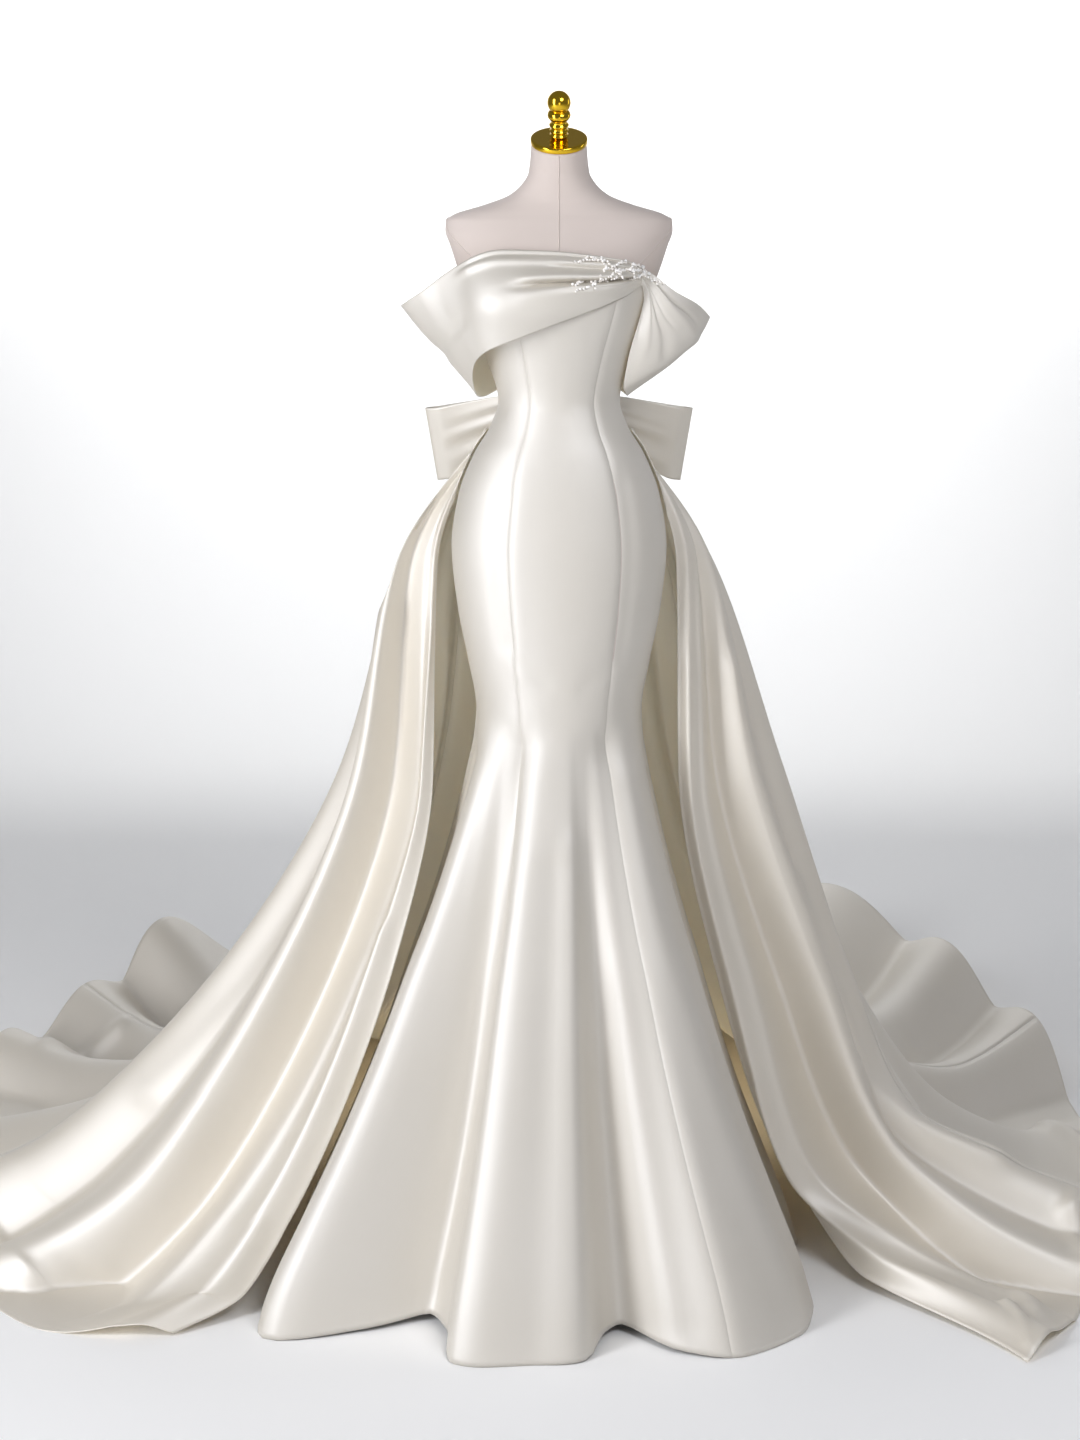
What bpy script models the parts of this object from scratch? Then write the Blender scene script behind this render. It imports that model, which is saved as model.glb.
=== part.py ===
"""A mermaid wedding dress in duchess satin on a limbless dress form.

Metres, +Z up. The origin is on the floor under the middle of the form's base, the front of the
dress faces -Y, and +X is on the right of someone who looks at the front. An azimuth is in degrees
round the form: 0 is the front, 90 is -X, 180 is the back, and -90 or 270 is +X.
"""
import math

import bpy
import numpy as np

for old in list(bpy.data.objects):
    bpy.data.objects.remove(old, do_unlink=True)

# Driving sizes
WALL = 0.002
LEAST_WALL_SHARE = 0.75
SEAM_GAP = 0.0003
KNEE_HEIGHT = 0.978
HEM_RADIUS = 0.435
FORM_BOTTOM = 1.060
FORM_CLEARANCE = 0.0018
NECK_TILT = 24.0
NECK_TOP = 1.889
CAP_RADIUS = 0.045
CAP_HEIGHT = 0.009
POLE_RADIUS = 0.016
BASE_RADIUS = 0.170
BASE_HEIGHT = 0.012
FIT_GAP = 0.0003
ROUNDED_EDGE = 0.002
OVERSKIRT_GAP = 0.006
WAIST_GAP = 0.0033
SHARP_ANGLE = 40.0

# Form and gown sections: a closed oval at each height, the gown's middle line from the neckline down
BODY_COLUMNS = ("height", "half_width", "front", "back", "shift")
BODY = (
    (0.000, 0.435, 0.435, 0.435, 0.000),
    (0.075, 0.412, 0.412, 0.412, 0.000),
    (0.181, 0.369, 0.369, 0.369, 0.000),
    (0.294, 0.324, 0.324, 0.324, 0.000),
    (0.399, 0.287, 0.287, 0.287, 0.000),
    (0.464, 0.266, 0.266, 0.266, 0.000),
    (0.564, 0.236, 0.236, 0.236, 0.000),
    (0.638, 0.212, 0.211, 0.211, 0.000),
    (0.726, 0.187, 0.183, 0.183, 0.000),
    (0.810, 0.166, 0.158, 0.158, 0.000),
    (0.872, 0.152, 0.141, 0.141, 0.000),
    (0.935, 0.140, 0.128, 0.128, 0.000),
    (0.978, 0.137, 0.124, 0.125, 0.000),
    (1.060, 0.150, 0.124, 0.129, 0.000),
    (1.150, 0.167, 0.122, 0.134, 0.000),
    (1.248, 0.176, 0.118, 0.134, 0.000),
    (1.330, 0.164, 0.111, 0.124, 0.000),
    (1.400, 0.137, 0.101, 0.104, 0.000),
    (1.445, 0.110, 0.090, 0.088, 0.000),
    (1.485, 0.098, 0.084, 0.079, 0.000),
    (1.550, 0.116, 0.097, 0.085, 0.000),
    (1.600, 0.136, 0.112, 0.092, 0.000),
    (1.640, 0.147, 0.120, 0.096, 0.000),
    (1.670, 0.155, 0.116, 0.097, 0.000),
    (1.705, 0.167, 0.102, 0.094, 0.000),
    (1.730, 0.175, 0.089, 0.090, 0.000),
    (1.755, 0.183, 0.076, 0.084, 0.000),
    (1.771, 0.181, 0.068, 0.079, 0.000),
    (1.780, 0.168, 0.063, 0.076, 0.000),
    (1.795, 0.119, 0.057, 0.071, 0.000),
    (1.809, 0.082, 0.052, 0.065, -0.003),
    (1.825, 0.062, 0.049, 0.057, -0.007),
    (1.845, 0.050, 0.046, 0.051, -0.012),
    (1.910, 0.044, 0.044, 0.047, -0.024),
)

# Cups of the bodice
CUP_AZIMUTH = 38.0
CUP_SPREAD = 21.0
CUP_HEIGHT = 1.648
CUP_RISE = 0.042
CUP_DEPTH = 0.009

# Neckline and hem flutes of the gown: one row for each place round the body. The flutes open
# along a curve with this power, and the hem lifts between them below this height.
FLUTE_POWER = 2.2
LIFT_HEIGHT = 0.3
NECKLINE_COLUMNS = ("azimuth", "height")
NECKLINE = ((0.0, 1.700), (45.0, 1.694), (90.0, 1.668), (140.0, 1.640), (180.0, 1.632))
FLUTE_COLUMNS = ("azimuth", "hem_radius", "lift")
FLUTES = (
    (8.0, 0.426, 0.000),
    (22.0, 0.446, 0.000),
    (30.0, 0.368, 0.012),
    (38.0, 0.345, 0.014),
    (46.0, 0.440, 0.006),
    (56.0, 0.580, 0.000),
    (66.0, 0.530, 0.002),
    (80.0, 0.430, 0.010),
    (97.0, 0.468, 0.000),
    (113.0, 0.400, 0.012),
    (130.0, 0.470, 0.000),
    (146.0, 0.400, 0.012),
    (164.0, 0.475, 0.000),
    (180.0, 0.410, 0.012),
    (197.0, 0.475, 0.000),
    (214.0, 0.400, 0.012),
    (231.0, 0.462, 0.000),
    (247.0, 0.390, 0.012),
    (262.0, 0.425, 0.000),
    (277.0, 0.400, 0.010),
    (298.0, 0.478, 0.000),
    (310.0, 0.502, 0.000),
    (322.0, 0.492, 0.000),
    (333.0, 0.430, 0.006),
    (342.0, 0.325, 0.015),
    (348.0, 0.345, 0.012),
    (354.0, 0.408, 0.002),
)

# Gown panels, seam to seam round the body, with how many strips each has
PANEL_COLUMNS = ("name", "from_azimuth", "to_azimuth", "strips")
PANELS = (
    ("gown_front_centre", -35.0, 28.0, 13),
    ("gown_side_front_left", 28.0, 88.0, 10),
    ("gown_side_back_left", 88.0, 145.0, 7),
    ("gown_back_left", 145.0, 180.0, 4),
    ("gown_back_right", 180.0, 215.0, 4),
    ("gown_side_back_right", 215.0, 272.0, 7),
    ("gown_side_front_right", 272.0, 325.0, 9),
)
GOWN_ROWS = (0.0, 0.07, 0.16, 0.27, 0.39, 0.52, 0.65, 0.77, 0.88, 0.978, 1.06, 1.15, 1.248, 1.33,
             1.39, 1.42, 1.445, 1.485, 1.55, 1.60)
TOP_SHARES = (0.5, 1.0)
SHOULDER_ROWS = (1.730, 1.755, 1.771, 1.780, 1.790, 1.802, 1.818, 1.840)

# Drape sections from the centre back round the left arm, the front and the right arm
DRAPE_COLUMNS = ("top_azimuth", "top_height", "top_out", "low_azimuth", "low_height", "low_out", "belly")
DRAPE = (
    (180.0, 1.672, 0.0026, 180.0, 1.530, 0.0030, 0.000),
    (166.0, 1.680, 0.006, 164.0, 1.525, 0.006, 0.002),
    (150.0, 1.682, 0.016, 148.0, 1.515, 0.010, 0.008),
    (130.0, 1.668, 0.048, 128.0, 1.500, 0.020, 0.012),
    (110.0, 1.645, 0.090, 107.0, 1.488, 0.030, 0.008),
    (92.0, 1.636, 0.108, 90.0, 1.492, 0.034, 0.000),
    (80.0, 1.655, 0.078, 72.0, 1.520, 0.040, 0.004),
    (70.0, 1.680, 0.044, 56.0, 1.552, 0.042, 0.010),
    (52.0, 1.708, 0.014, 44.0, 1.569, 0.036, 0.016),
    (28.0, 1.727, 0.008, 24.0, 1.591, 0.024, 0.018),
    (4.0, 1.725, 0.007, 2.0, 1.615, 0.016, 0.016),
    (-18.0, 1.718, 0.006, -18.0, 1.635, 0.011, 0.012),
    (-38.0, 1.709, 0.005, -38.0, 1.656, 0.006, 0.006),
    (-51.0, 1.699, 0.0026, -53.0, 1.671, 0.0026, 0.000),
    (-58.0, 1.685, 0.018, -58.0, 1.640, 0.006, 0.004),
    (-67.0, 1.662, 0.044, -58.0, 1.597, 0.007, 0.012),
    (-78.0, 1.640, 0.078, -61.0, 1.555, 0.008, 0.018),
    (-90.0, 1.618, 0.101, -70.0, 1.505, 0.010, 0.022),
    (-106.0, 1.628, 0.086, -95.0, 1.492, 0.012, 0.026),
    (-127.0, 1.655, 0.046, -120.0, 1.500, 0.010, 0.016),
    (-150.0, 1.676, 0.014, -146.0, 1.515, 0.007, 0.006),
    (-180.0, 1.672, 0.0026, -180.0, 1.530, 0.0030, 0.000),
)
DRAPE_GATHER_ROW = 13
DRAPE_STRIPS = 2
DRAPE_BANDS = 8

# Folds of the drape: a trough or ridge along a line between two places on it. Past its ends a fold
# fades over this many rows, and near the gather all folds close over this many.
FOLD_FADE_ROWS = 0.6
GATHER_ROWS = 1.2
DRAPE_LEAST_OUT = 0.0026
DRAPE_FOLD_COLUMNS = ("from_row", "from_down", "to_row", "to_down", "rise", "spread")
DRAPE_FOLDS = (
    (9.6, 0.44, 13.0, 0.60, -0.010, 0.10),
    (9.4, 0.66, 13.0, 0.85, 0.006, 0.12),
    (8.0, 0.16, 13.0, 0.25, 0.006, 0.12),
    (13.0, 0.50, 17.0, 0.55, -0.007, 0.09),
    (13.0, 0.70, 16.6, 0.78, 0.006, 0.09),
    (13.0, 0.30, 18.0, 0.28, 0.007, 0.10),
)

# Overskirt folds from the left front edge round the back to the right front edge. Each row is the
# crest of one fold, and the cloth after it dips by its last value, less so near the waist.
FOLD_COLUMNS = ("waist", "hip_azimuth", "hip_radius", "thigh_radius", "shin_azimuth", "shin_radius",
                "low_azimuth", "low_radius", "low_height", "floor_azimuth", "floor_radius",
                "floor_height", "hem_azimuth", "hem_radius", "hem_height", "dip")
FOLDS = (
    (93, 92, .200, .212, 66, .320, 65, .49, .15, 64, .590, .030, 63, .700, .001, -.012),
    (96, 91, .216, .235, 76, .360, 73, .58, .15, 71, .740, .020, 70, .885, .001, .060),
    (99, 90, .266, .338, 84, .500, 83, .76, .15, 83, .900, .070, 84, 1.08, .020, .055),
    (105, 106, .272, .382, 101, .598, 99, .95, .15, 98, 1.08, .090, 97, 1.21, .030, .050),
    (113, 118, .268, .360, 116, .550, 115, .93, .15, 114, 1.16, .060, 113, 1.34, .010, .052),
    (123, 130, .260, .340, 130, .530, 129, .93, .15, 128, 1.26, .070, 127, 1.46, .090, .048),
    (135, 143, .256, .330, 142, .510, 140, .92, .15, 138, 1.30, .070, 138, 1.56, .100, .055),
    (149, 156, .256, .325, 155, .500, 152, .92, .15, 149, 1.34, .070, 147, 1.66, .180, .050),
    (164, 169, .258, .325, 168, .500, 167, .92, .15, 166, 1.38, .050, 165, 1.80, .020, .056),
    (180, 182, .258, .325, 183, .500, 183, .92, .15, 183, 1.40, .060, 183, 1.87, .040, .050),
    (196, 196, .258, .325, 198, .500, 200, .92, .15, 201, 1.38, .080, 201, 1.82, .170, .054),
    (210, 209, .258, .330, 213, .510, 214, .90, .15, 214, 1.26, .080, 214, 1.57, .150, .048),
    (222, 223, .262, .345, 228, .525, 229, .86, .15, 228, 1.12, .070, 227, 1.38, .100, .052),
    (233, 236, .266, .370, 243, .540, 246, .80, .15, 247, .980, .060, 248, 1.13, .050, .026),
    (243, 250, .268, .396, 258, .515, 266, .62, .25, 269, .830, .145, 271, 1.05, .080, .018),
    (252, 261, .254, .322, 268, .450, 274, .57, .22, 278, .760, .090, 280, .960, .030, .055),
    (260, 268, .224, .240, 272, .325, 276, .45, .15, 284, .640, .060, 289, .885, .010, -.010),
    (267, 270, .192, .200, 270, .272, 271, .40, .15, 286, .540, .020, 299, .850, .001, .000),
)
WAIST_SIDE = 1.440
WAIST_BACK = 1.418
HIP_HEIGHT = 1.220
THIGH_HEIGHT = 0.860
SHIN_HEIGHT = 0.500
SHIN_SHARE = 0.50
LOW_SHARE = 0.70
FLOOR_SHARE = 0.82
STATION_SHARES = (0.0, 0.15, 0.33, SHIN_SHARE, LOW_SHARE, FLOOR_SHARE, 1.0)
FOLD_SHARES = (0.0, 0.012, 0.05, 0.10, 0.15, 0.24, 0.33, 0.41, 0.50, 0.57, 0.64, 0.70, 0.76, 0.82, 0.88,
               0.94, 1.0)
FOLD_STRIPS = 4
DIP_POWER = 1.2
DROP_FACTOR = 1.6
DEEPEST_DIP = 0.42
LYING_SHARE = 0.3
OVERSKIRT_PANELS = (
    ("overskirt_left_front", 0, 3),
    ("overskirt_left_side", 3, 6),
    ("overskirt_back_left", 6, 9),
    ("overskirt_back_right", 9, 12),
    ("overskirt_right_side", 12, 14),
    ("overskirt_right_front", 14, 17),
)

# Bow loop sections from the knot out along the front layer and back along the rear layer
BOW_COLUMNS = ("out", "back", "height", "half_height")
BOW = (
    (0.004, 0.008, 1.452, 0.0180),
    (0.026, 0.008, 1.452, 0.0185),
    (0.045, 0.016, 1.450, 0.028),
    (0.085, 0.036, 1.440, 0.041),
    (0.150, 0.062, 1.414, 0.055),
    (0.200, 0.078, 1.396, 0.062),
    (0.216, 0.092, 1.394, 0.063),
    (0.202, 0.106, 1.396, 0.062),
    (0.150, 0.104, 1.412, 0.054),
    (0.085, 0.078, 1.438, 0.039),
    (0.045, 0.048, 1.450, 0.027),
    (0.026, 0.038, 1.452, 0.0185),
    (0.004, 0.038, 1.452, 0.0180),
)
BOW_LEAN_OUT = 0.14
BOW_LEAN_BACK = 0.30
BOW_LEAN_START = 0.03
BOW_LEAN_LENGTH = 0.06
BOW_STRIPS = 2
BOW_BANDS = 3
KNOT_HALF_WIDTH = 0.017
KNOT_HALF_HEIGHT = 0.0228
KNOT_ROOM = 0.0005
KNOT_SWELL = 0.0012
KNOT_ROUNDNESS = 0.22
KNOT_STEPS = 24

# Finial of the form: its stem as radius and height, its balls as height and radius
FINIAL_STEM = ((0.0085, 0.0), (0.0085, 0.010), (0.0110, 0.013), (0.0125, 0.016), (0.0125, 0.020))
FINIAL_BALLS = ((0.035, 0.0175), (0.059, 0.0185))
FINIAL_TIP = (0.006, 0.0770)
BALL_STEPS = 6
BALL_START = -55.0
BALL_TURN = 22.0


def smooth(keys, values, at):
    """Values of a monotone cubic through a table's column, at any places along its keys."""
    keys = np.asarray(keys, float)
    values = np.asarray(values, float)
    steps = np.diff(keys)
    slopes = np.diff(values) / steps
    tangents = np.zeros_like(values)
    tangents[0] = slopes[0]
    tangents[-1] = slopes[-1]
    both = slopes[:-1] * slopes[1:]
    heavy = 2.0 * steps[1:] + steps[:-1]
    light = steps[1:] + 2.0 * steps[:-1]
    same = both > 0.0
    tangents[1:-1][same] = (heavy + light)[same] / (
        heavy[same] / slopes[:-1][same] + light[same] / slopes[1:][same])
    at = np.clip(np.asarray(at, float), keys[0], keys[-1])
    cell = np.clip(np.searchsorted(keys, at, side="right") - 1, 0, len(keys) - 2)
    share = (at - keys[cell]) / steps[cell]
    rest = 1.0 - share
    low = values[cell] * (1.0 + 2.0 * share) * rest ** 2 + tangents[cell] * steps[cell] * share * rest ** 2
    high = values[cell + 1] * (3.0 - 2.0 * share) * share ** 2
    return low + high - tangents[cell + 1] * steps[cell] * rest * share ** 2


def column(rows, columns, name):
    """One named column of a table."""
    place = columns.index(name)
    return np.array([row[place] for row in rows], float)


def body_size(height, name):
    """A size of the form's or gown's oval section at any height."""
    return smooth(column(BODY, BODY_COLUMNS, "height"), column(BODY, BODY_COLUMNS, name), height)


def round_the_body(rows, columns, name, azimuth):
    """A column that repeats every full turn."""
    keys = column(rows, columns, "azimuth")
    values = column(rows, columns, name)
    keys = np.concatenate((keys - 360.0, keys, keys + 360.0))
    return smooth(keys, np.tile(values, 3), np.mod(azimuth, 360.0))


def cup_bulge(azimuth, height):
    """How far the cups stand out from the plain oval."""
    turn = np.mod(np.asarray(azimuth, float) + 180.0, 360.0) - 180.0
    left = np.exp(-((turn - CUP_AZIMUTH) / CUP_SPREAD) ** 2)
    right = np.exp(-((turn + CUP_AZIMUTH) / CUP_SPREAD) ** 2)
    return CUP_DEPTH * (left + right) * np.exp(-((height - CUP_HEIGHT) / CUP_RISE) ** 2)


def flute_share(height):
    """How far the flutes have opened, from 0 at the knee to 1 at the hem."""
    down = np.clip(1.0 - np.asarray(height, float) / KNEE_HEIGHT, 0.0, 1.0)
    return 1.0 - (1.0 - down) ** FLUTE_POWER


def flute_factor(azimuth, height):
    """The flutes' share of the plain radius."""
    hem = round_the_body(FLUTES, FLUTE_COLUMNS, "hem_radius", azimuth)
    return 1.0 + (hem / HEM_RADIUS - 1.0) * flute_share(height)


def body_point(azimuth, height, out=0.0):
    """Points on the form or gown, moved out level by a distance."""
    angle = np.radians(azimuth)
    swell = out + cup_bulge(azimuth, height)
    factor = flute_factor(azimuth, height)
    half_width = body_size(height, "half_width") * factor + swell
    ahead = np.cos(angle) > 0.0
    depth = np.where(ahead, body_size(height, "front"), body_size(height, "back")) * factor + swell
    across = -half_width * np.sin(angle)
    along = body_size(height, "shift") - depth * np.cos(angle)
    return np.stack(np.broadcast_arrays(across, along, np.asarray(height, float)), axis=-1)


def gown_radius(azimuth, height):
    """Radius of the gown in a level direction from the axis."""
    angle = np.radians(azimuth)
    width = body_size(height, "half_width")
    ahead = np.cos(angle) > 0.0
    depth = np.where(ahead, body_size(height, "front"), body_size(height, "back"))
    plain = 1.0 / np.sqrt((np.sin(angle) / width) ** 2 + (np.cos(angle) / depth) ** 2)
    return plain * flute_factor(azimuth, height)


def grid_normals(points, ring=False):
    """Unit normals of a grid of points: the way down its rows crossed with the way along them."""
    if ring:
        wide = np.concatenate((points[:, -2:-1], points, points[:, 1:2]), axis=1)
        across = wide[:, 2:] - wide[:, :-2]
    else:
        across = np.gradient(points, axis=1)
    down = np.gradient(points, axis=0)
    normals = np.cross(down, across)
    normals /= np.maximum(np.linalg.norm(normals, axis=2, keepdims=True), 1e-12)
    return normals


def make_material(name, colour, roughness, metallic=0.0):
    """A plain surface of one colour."""
    material = bpy.data.materials.new(name)
    material.use_nodes = True
    shader = material.node_tree.nodes["Principled BSDF"]
    shader.inputs["Base Color"].default_value = (*colour, 1.0)
    shader.inputs["Roughness"].default_value = roughness
    shader.inputs["Metallic"].default_value = metallic
    return material


def add_object(name, vertices, faces, material):
    """A mesh object from points and faces."""
    mesh = bpy.data.meshes.new(name)
    mesh.from_pydata([tuple(map(float, vertex)) for vertex in vertices], [], faces)
    mesh.validate()
    mesh.materials.append(material)
    mesh.shade_smooth()
    mesh.set_sharp_from_angle(angle=math.radians(SHARP_ANGLE))
    item = bpy.data.objects.new(name, mesh)
    bpy.context.scene.collection.objects.link(item)
    return item


def pull_in(points, gap_left, gap_right):
    """Move a grid's two side edges in by half a seam gap where another panel meets them."""
    points = points.copy()
    for meets, edge, beside in ((gap_left, 0, 1), (gap_right, -1, -2)):
        if meets:
            step = points[:, beside] - points[:, edge]
            step /= np.linalg.norm(step, axis=1, keepdims=True)
            points[:, edge] += step * SEAM_GAP / 2.0
    return points


def add_wall(name, points, normals, material, floor=None, gaps=(True, True)):
    """A cloth wall: a grid of middle points given its thickness along the normals."""
    points = pull_in(points, *gaps)
    near_side = points + normals * WALL / 2.0
    far_side = points - normals * WALL / 2.0
    if floor is not None:
        near_side[..., 2] = np.maximum(near_side[..., 2], floor)
        far_side[..., 2] = np.maximum(far_side[..., 2], floor)
        flat = np.linalg.norm(near_side - far_side, axis=2) < WALL * LEAST_WALL_SHARE
        near_side[flat] = far_side[flat] + np.array((0.0, 0.0, WALL))
    rows, columns = points.shape[:2]
    count = rows * columns
    vertices = np.concatenate((near_side.reshape(-1, 3), far_side.reshape(-1, 3)))
    faces = []
    for row in range(rows - 1):
        for place in range(columns - 1):
            near = row * columns + place
            beside = near + 1
            below = near + columns
            across = below + 1
            first = np.linalg.norm(points[row, place] - points[row + 1, place + 1])
            second = np.linalg.norm(points[row, place + 1] - points[row + 1, place])
            if first <= second:
                pair = ((near, below, across), (near, across, beside))
            else:
                pair = ((near, below, beside), (beside, below, across))
            for face in pair:
                faces.append(face)
                faces.append(tuple(count + corner for corner in reversed(face)))
    rim = [place for place in range(columns)]
    rim += [row * columns + columns - 1 for row in range(1, rows)]
    rim += [(rows - 1) * columns + place for place in range(columns - 2, -1, -1)]
    rim += [row * columns for row in range(rows - 2, 0, -1)]
    for here, there in zip(rim, rim[1:] + rim[:1]):
        faces.append((here, there, count + there))
        faces.append((here, count + there, count + here))
    return add_object(name, vertices, faces, material)


def add_turned(name, profile, segments, material):
    """A turned piece from radius and height pairs, bottom to top, closed on its axis."""
    vertices = [(0.0, 0.0, profile[0][1])]
    for radius, height in profile:
        for step in range(segments):
            angle = 2.0 * math.pi * step / segments
            vertices.append((radius * math.cos(angle), radius * math.sin(angle), height))
    vertices.append((0.0, 0.0, profile[-1][1]))
    last = len(vertices) - 1
    faces = []
    for step in range(segments):
        after = (step + 1) % segments
        faces.append((0, 1 + after, 1 + step))
        for ring in range(len(profile) - 1):
            low = 1 + ring * segments
            high = low + segments
            faces.append((low + step, low + after, high + after, high + step))
        top = 1 + (len(profile) - 1) * segments
        faces.append((top + step, top + after, last))
    return add_object(name, vertices, faces, material)


# Materials
SATIN = make_material("duchess_satin", (0.86, 0.83, 0.76), 0.32)
FORM_CLOTH = make_material("form_cloth", (0.76, 0.72, 0.68), 0.75)
GOLD = make_material("polished_brass", (0.90, 0.62, 0.16), 0.12, 1.0)
PAINTED_STEEL = make_material("painted_steel", (0.80, 0.79, 0.76), 0.45)


def gown_grid(azimuths):
    """Middle points of the gown from the neckline down to the hem."""
    top = round_the_body(NECKLINE + tuple((360.0 - a, h) for a, h in NECKLINE[-2:0:-1]),
                         NECKLINE_COLUMNS, "height", azimuths)
    rows = []
    for share in reversed(TOP_SHARES):
        rows.append(GOWN_ROWS[-1] + (top - GOWN_ROWS[-1]) * share)
    lift = round_the_body(FLUTES, FLUTE_COLUMNS, "lift", azimuths)
    for height in reversed(GOWN_ROWS):
        rows.append(height + lift * max(0.0, 1.0 - height / LIFT_HEIGHT))
    heights = np.array(rows)
    return body_point(np.broadcast_to(azimuths, heights.shape), heights)


def build_gown():
    """Seven panels of the gown, cut from one grid so that their seams meet."""
    azimuths = []
    starts = []
    for name, first, last, strips in PANELS:
        starts.append(len(azimuths))
        azimuths += list(np.linspace(first, last, strips + 1)[:-1])
    azimuths.append(PANELS[-1][2])
    starts.append(len(azimuths) - 1)
    azimuths = np.array(azimuths)
    points = gown_grid(azimuths)
    normals = grid_normals(points, ring=True)
    for (name, first, last, strips), start, end in zip(PANELS, starts, starts[1:]):
        part = slice(start, end + 1)
        add_wall(name, points[:, part], normals[:, part], SATIN, floor=0.0)
    return azimuths


def build_form(gown_azimuths):
    """The smooth torso under the gown, with its neck, cap, finial, pole and base."""
    azimuths = gown_azimuths[:-1]
    grid = gown_grid(azimuths)
    inside = [row for row in grid if row[:, 2].max() > FORM_BOTTOM - 0.001]
    rings = [body_point(azimuths, ring[:, 2], -FORM_CLEARANCE) for ring in reversed(inside)]
    for height in SHOULDER_ROWS:
        rings.append(body_point(azimuths, np.full(len(azimuths), height), -FORM_CLEARANCE))
    tilt = math.tan(math.radians(NECK_TILT))
    neck = body_point(azimuths, np.full(len(azimuths), NECK_TOP), -FORM_CLEARANCE)
    neck[:, 2] = NECK_TOP + (neck[:, 1] - body_size(NECK_TOP, "shift")) * tilt
    rings.append(neck)
    count = len(azimuths)
    vertices = [rings[0].mean(axis=0)]
    for ring in rings:
        vertices += list(ring)
    vertices.append(rings[-1].mean(axis=0))
    last = len(vertices) - 1
    faces = []
    for step in range(count):
        after = (step + 1) % count
        faces.append((0, 1 + step, 1 + after))
        for ring in range(len(rings) - 1):
            low = 1 + ring * count
            high = low + count
            rising = np.linalg.norm(rings[ring][step] - rings[ring + 1][after])
            falling = np.linalg.norm(rings[ring + 1][step] - rings[ring][after])
            if rising < falling:
                faces.append((low + step, high + step, high + after))
                faces.append((low + step, high + after, low + after))
            else:
                faces.append((low + step, high + step, low + after))
                faces.append((low + after, high + step, high + after))
        top = 1 + (len(rings) - 1) * count
        faces.append((top + step, last, top + after))
    add_object("form_torso", vertices, faces, FORM_CLOTH)

    centre = rings[-1].mean(axis=0)
    lean = math.radians(NECK_TILT)
    axis = np.array((0.0, -math.sin(lean), math.cos(lean)))
    edge = ROUNDED_EDGE
    cap = add_turned("form_neck_cap", (
        (CAP_RADIUS - edge, 0.0), (CAP_RADIUS, edge), (CAP_RADIUS, CAP_HEIGHT - edge),
        (CAP_RADIUS - edge, CAP_HEIGHT)), 32, GOLD)
    cap.rotation_euler = (lean, 0.0, 0.0)
    cap.location = centre + axis * FIT_GAP

    profile = list(FINIAL_STEM)
    for ball, radius in FINIAL_BALLS:
        for step in range(BALL_STEPS):
            turn = math.radians(BALL_START + step * BALL_TURN)
            profile.append((radius * math.cos(turn), ball + radius * math.sin(turn)))
    profile.append(FINIAL_TIP)
    finial = add_turned("form_finial", profile, 20, GOLD)
    finial.rotation_euler = (lean, 0.0, 0.0)
    finial.location = centre + axis * (CAP_HEIGHT + 2.0 * FIT_GAP)

    pole_top = FORM_BOTTOM - FIT_GAP
    add_turned("form_pole", ((POLE_RADIUS, BASE_HEIGHT + FIT_GAP), (POLE_RADIUS, pole_top)), 24,
               PAINTED_STEEL)
    add_turned("form_base", (
        (BASE_RADIUS - edge, 0.0), (BASE_RADIUS, edge), (BASE_RADIUS, BASE_HEIGHT - edge),
        (BASE_RADIUS - edge, BASE_HEIGHT)), 32, PAINTED_STEEL)


def drape_rise(row, down):
    """How far the drape's folds stand out at a place between its sections."""
    rise = 0.0
    for from_row, from_down, to_row, to_down, height, spread in DRAPE_FOLDS:
        share = np.clip((row - from_row) / (to_row - from_row), 0.0, 1.0)
        line = from_down + (to_down - from_down) * share
        side = np.exp(-((down - line) / spread) ** 2)
        beyond = np.maximum(np.maximum(from_row - row, row - to_row), 0.0)
        taper = np.exp(-(beyond / FOLD_FADE_ROWS) ** 2)
        calm = np.clip(abs(row - DRAPE_GATHER_ROW) / GATHER_ROWS, 0.0, 1.0)
        rise = rise + height * side * taper * calm
    return rise


def build_drape():
    """The off-shoulder drape: two lengths of satin that meet in a gather at the right."""
    last = len(DRAPE) - 1
    rows = np.linspace(0.0, last, last * DRAPE_STRIPS + 1)
    keys = np.arange(len(DRAPE))
    size = {name: smooth(keys, column(DRAPE, DRAPE_COLUMNS, name), rows) for name in DRAPE_COLUMNS}
    lines = []
    for down in np.linspace(0.0, 1.0, DRAPE_BANDS + 1):
        azimuth = size["top_azimuth"] + (size["low_azimuth"] - size["top_azimuth"]) * down
        height = size["top_height"] + (size["low_height"] - size["top_height"]) * down
        out = size["top_out"] + (size["low_out"] - size["top_out"]) * down
        out = out + size["belly"] * math.sin(math.pi * down) + drape_rise(rows, down)
        lines.append(body_point(azimuth, height, np.maximum(out, DRAPE_LEAST_OUT)))
    points = np.array(lines)
    normals = grid_normals(points)
    gather = DRAPE_GATHER_ROW * DRAPE_STRIPS
    add_wall("drape_front_and_left_sleeve", points[:, :gather + 1], normals[:, :gather + 1], SATIN)
    add_wall("drape_right_sleeve", points[:, gather:], normals[:, gather:], SATIN)


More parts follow.
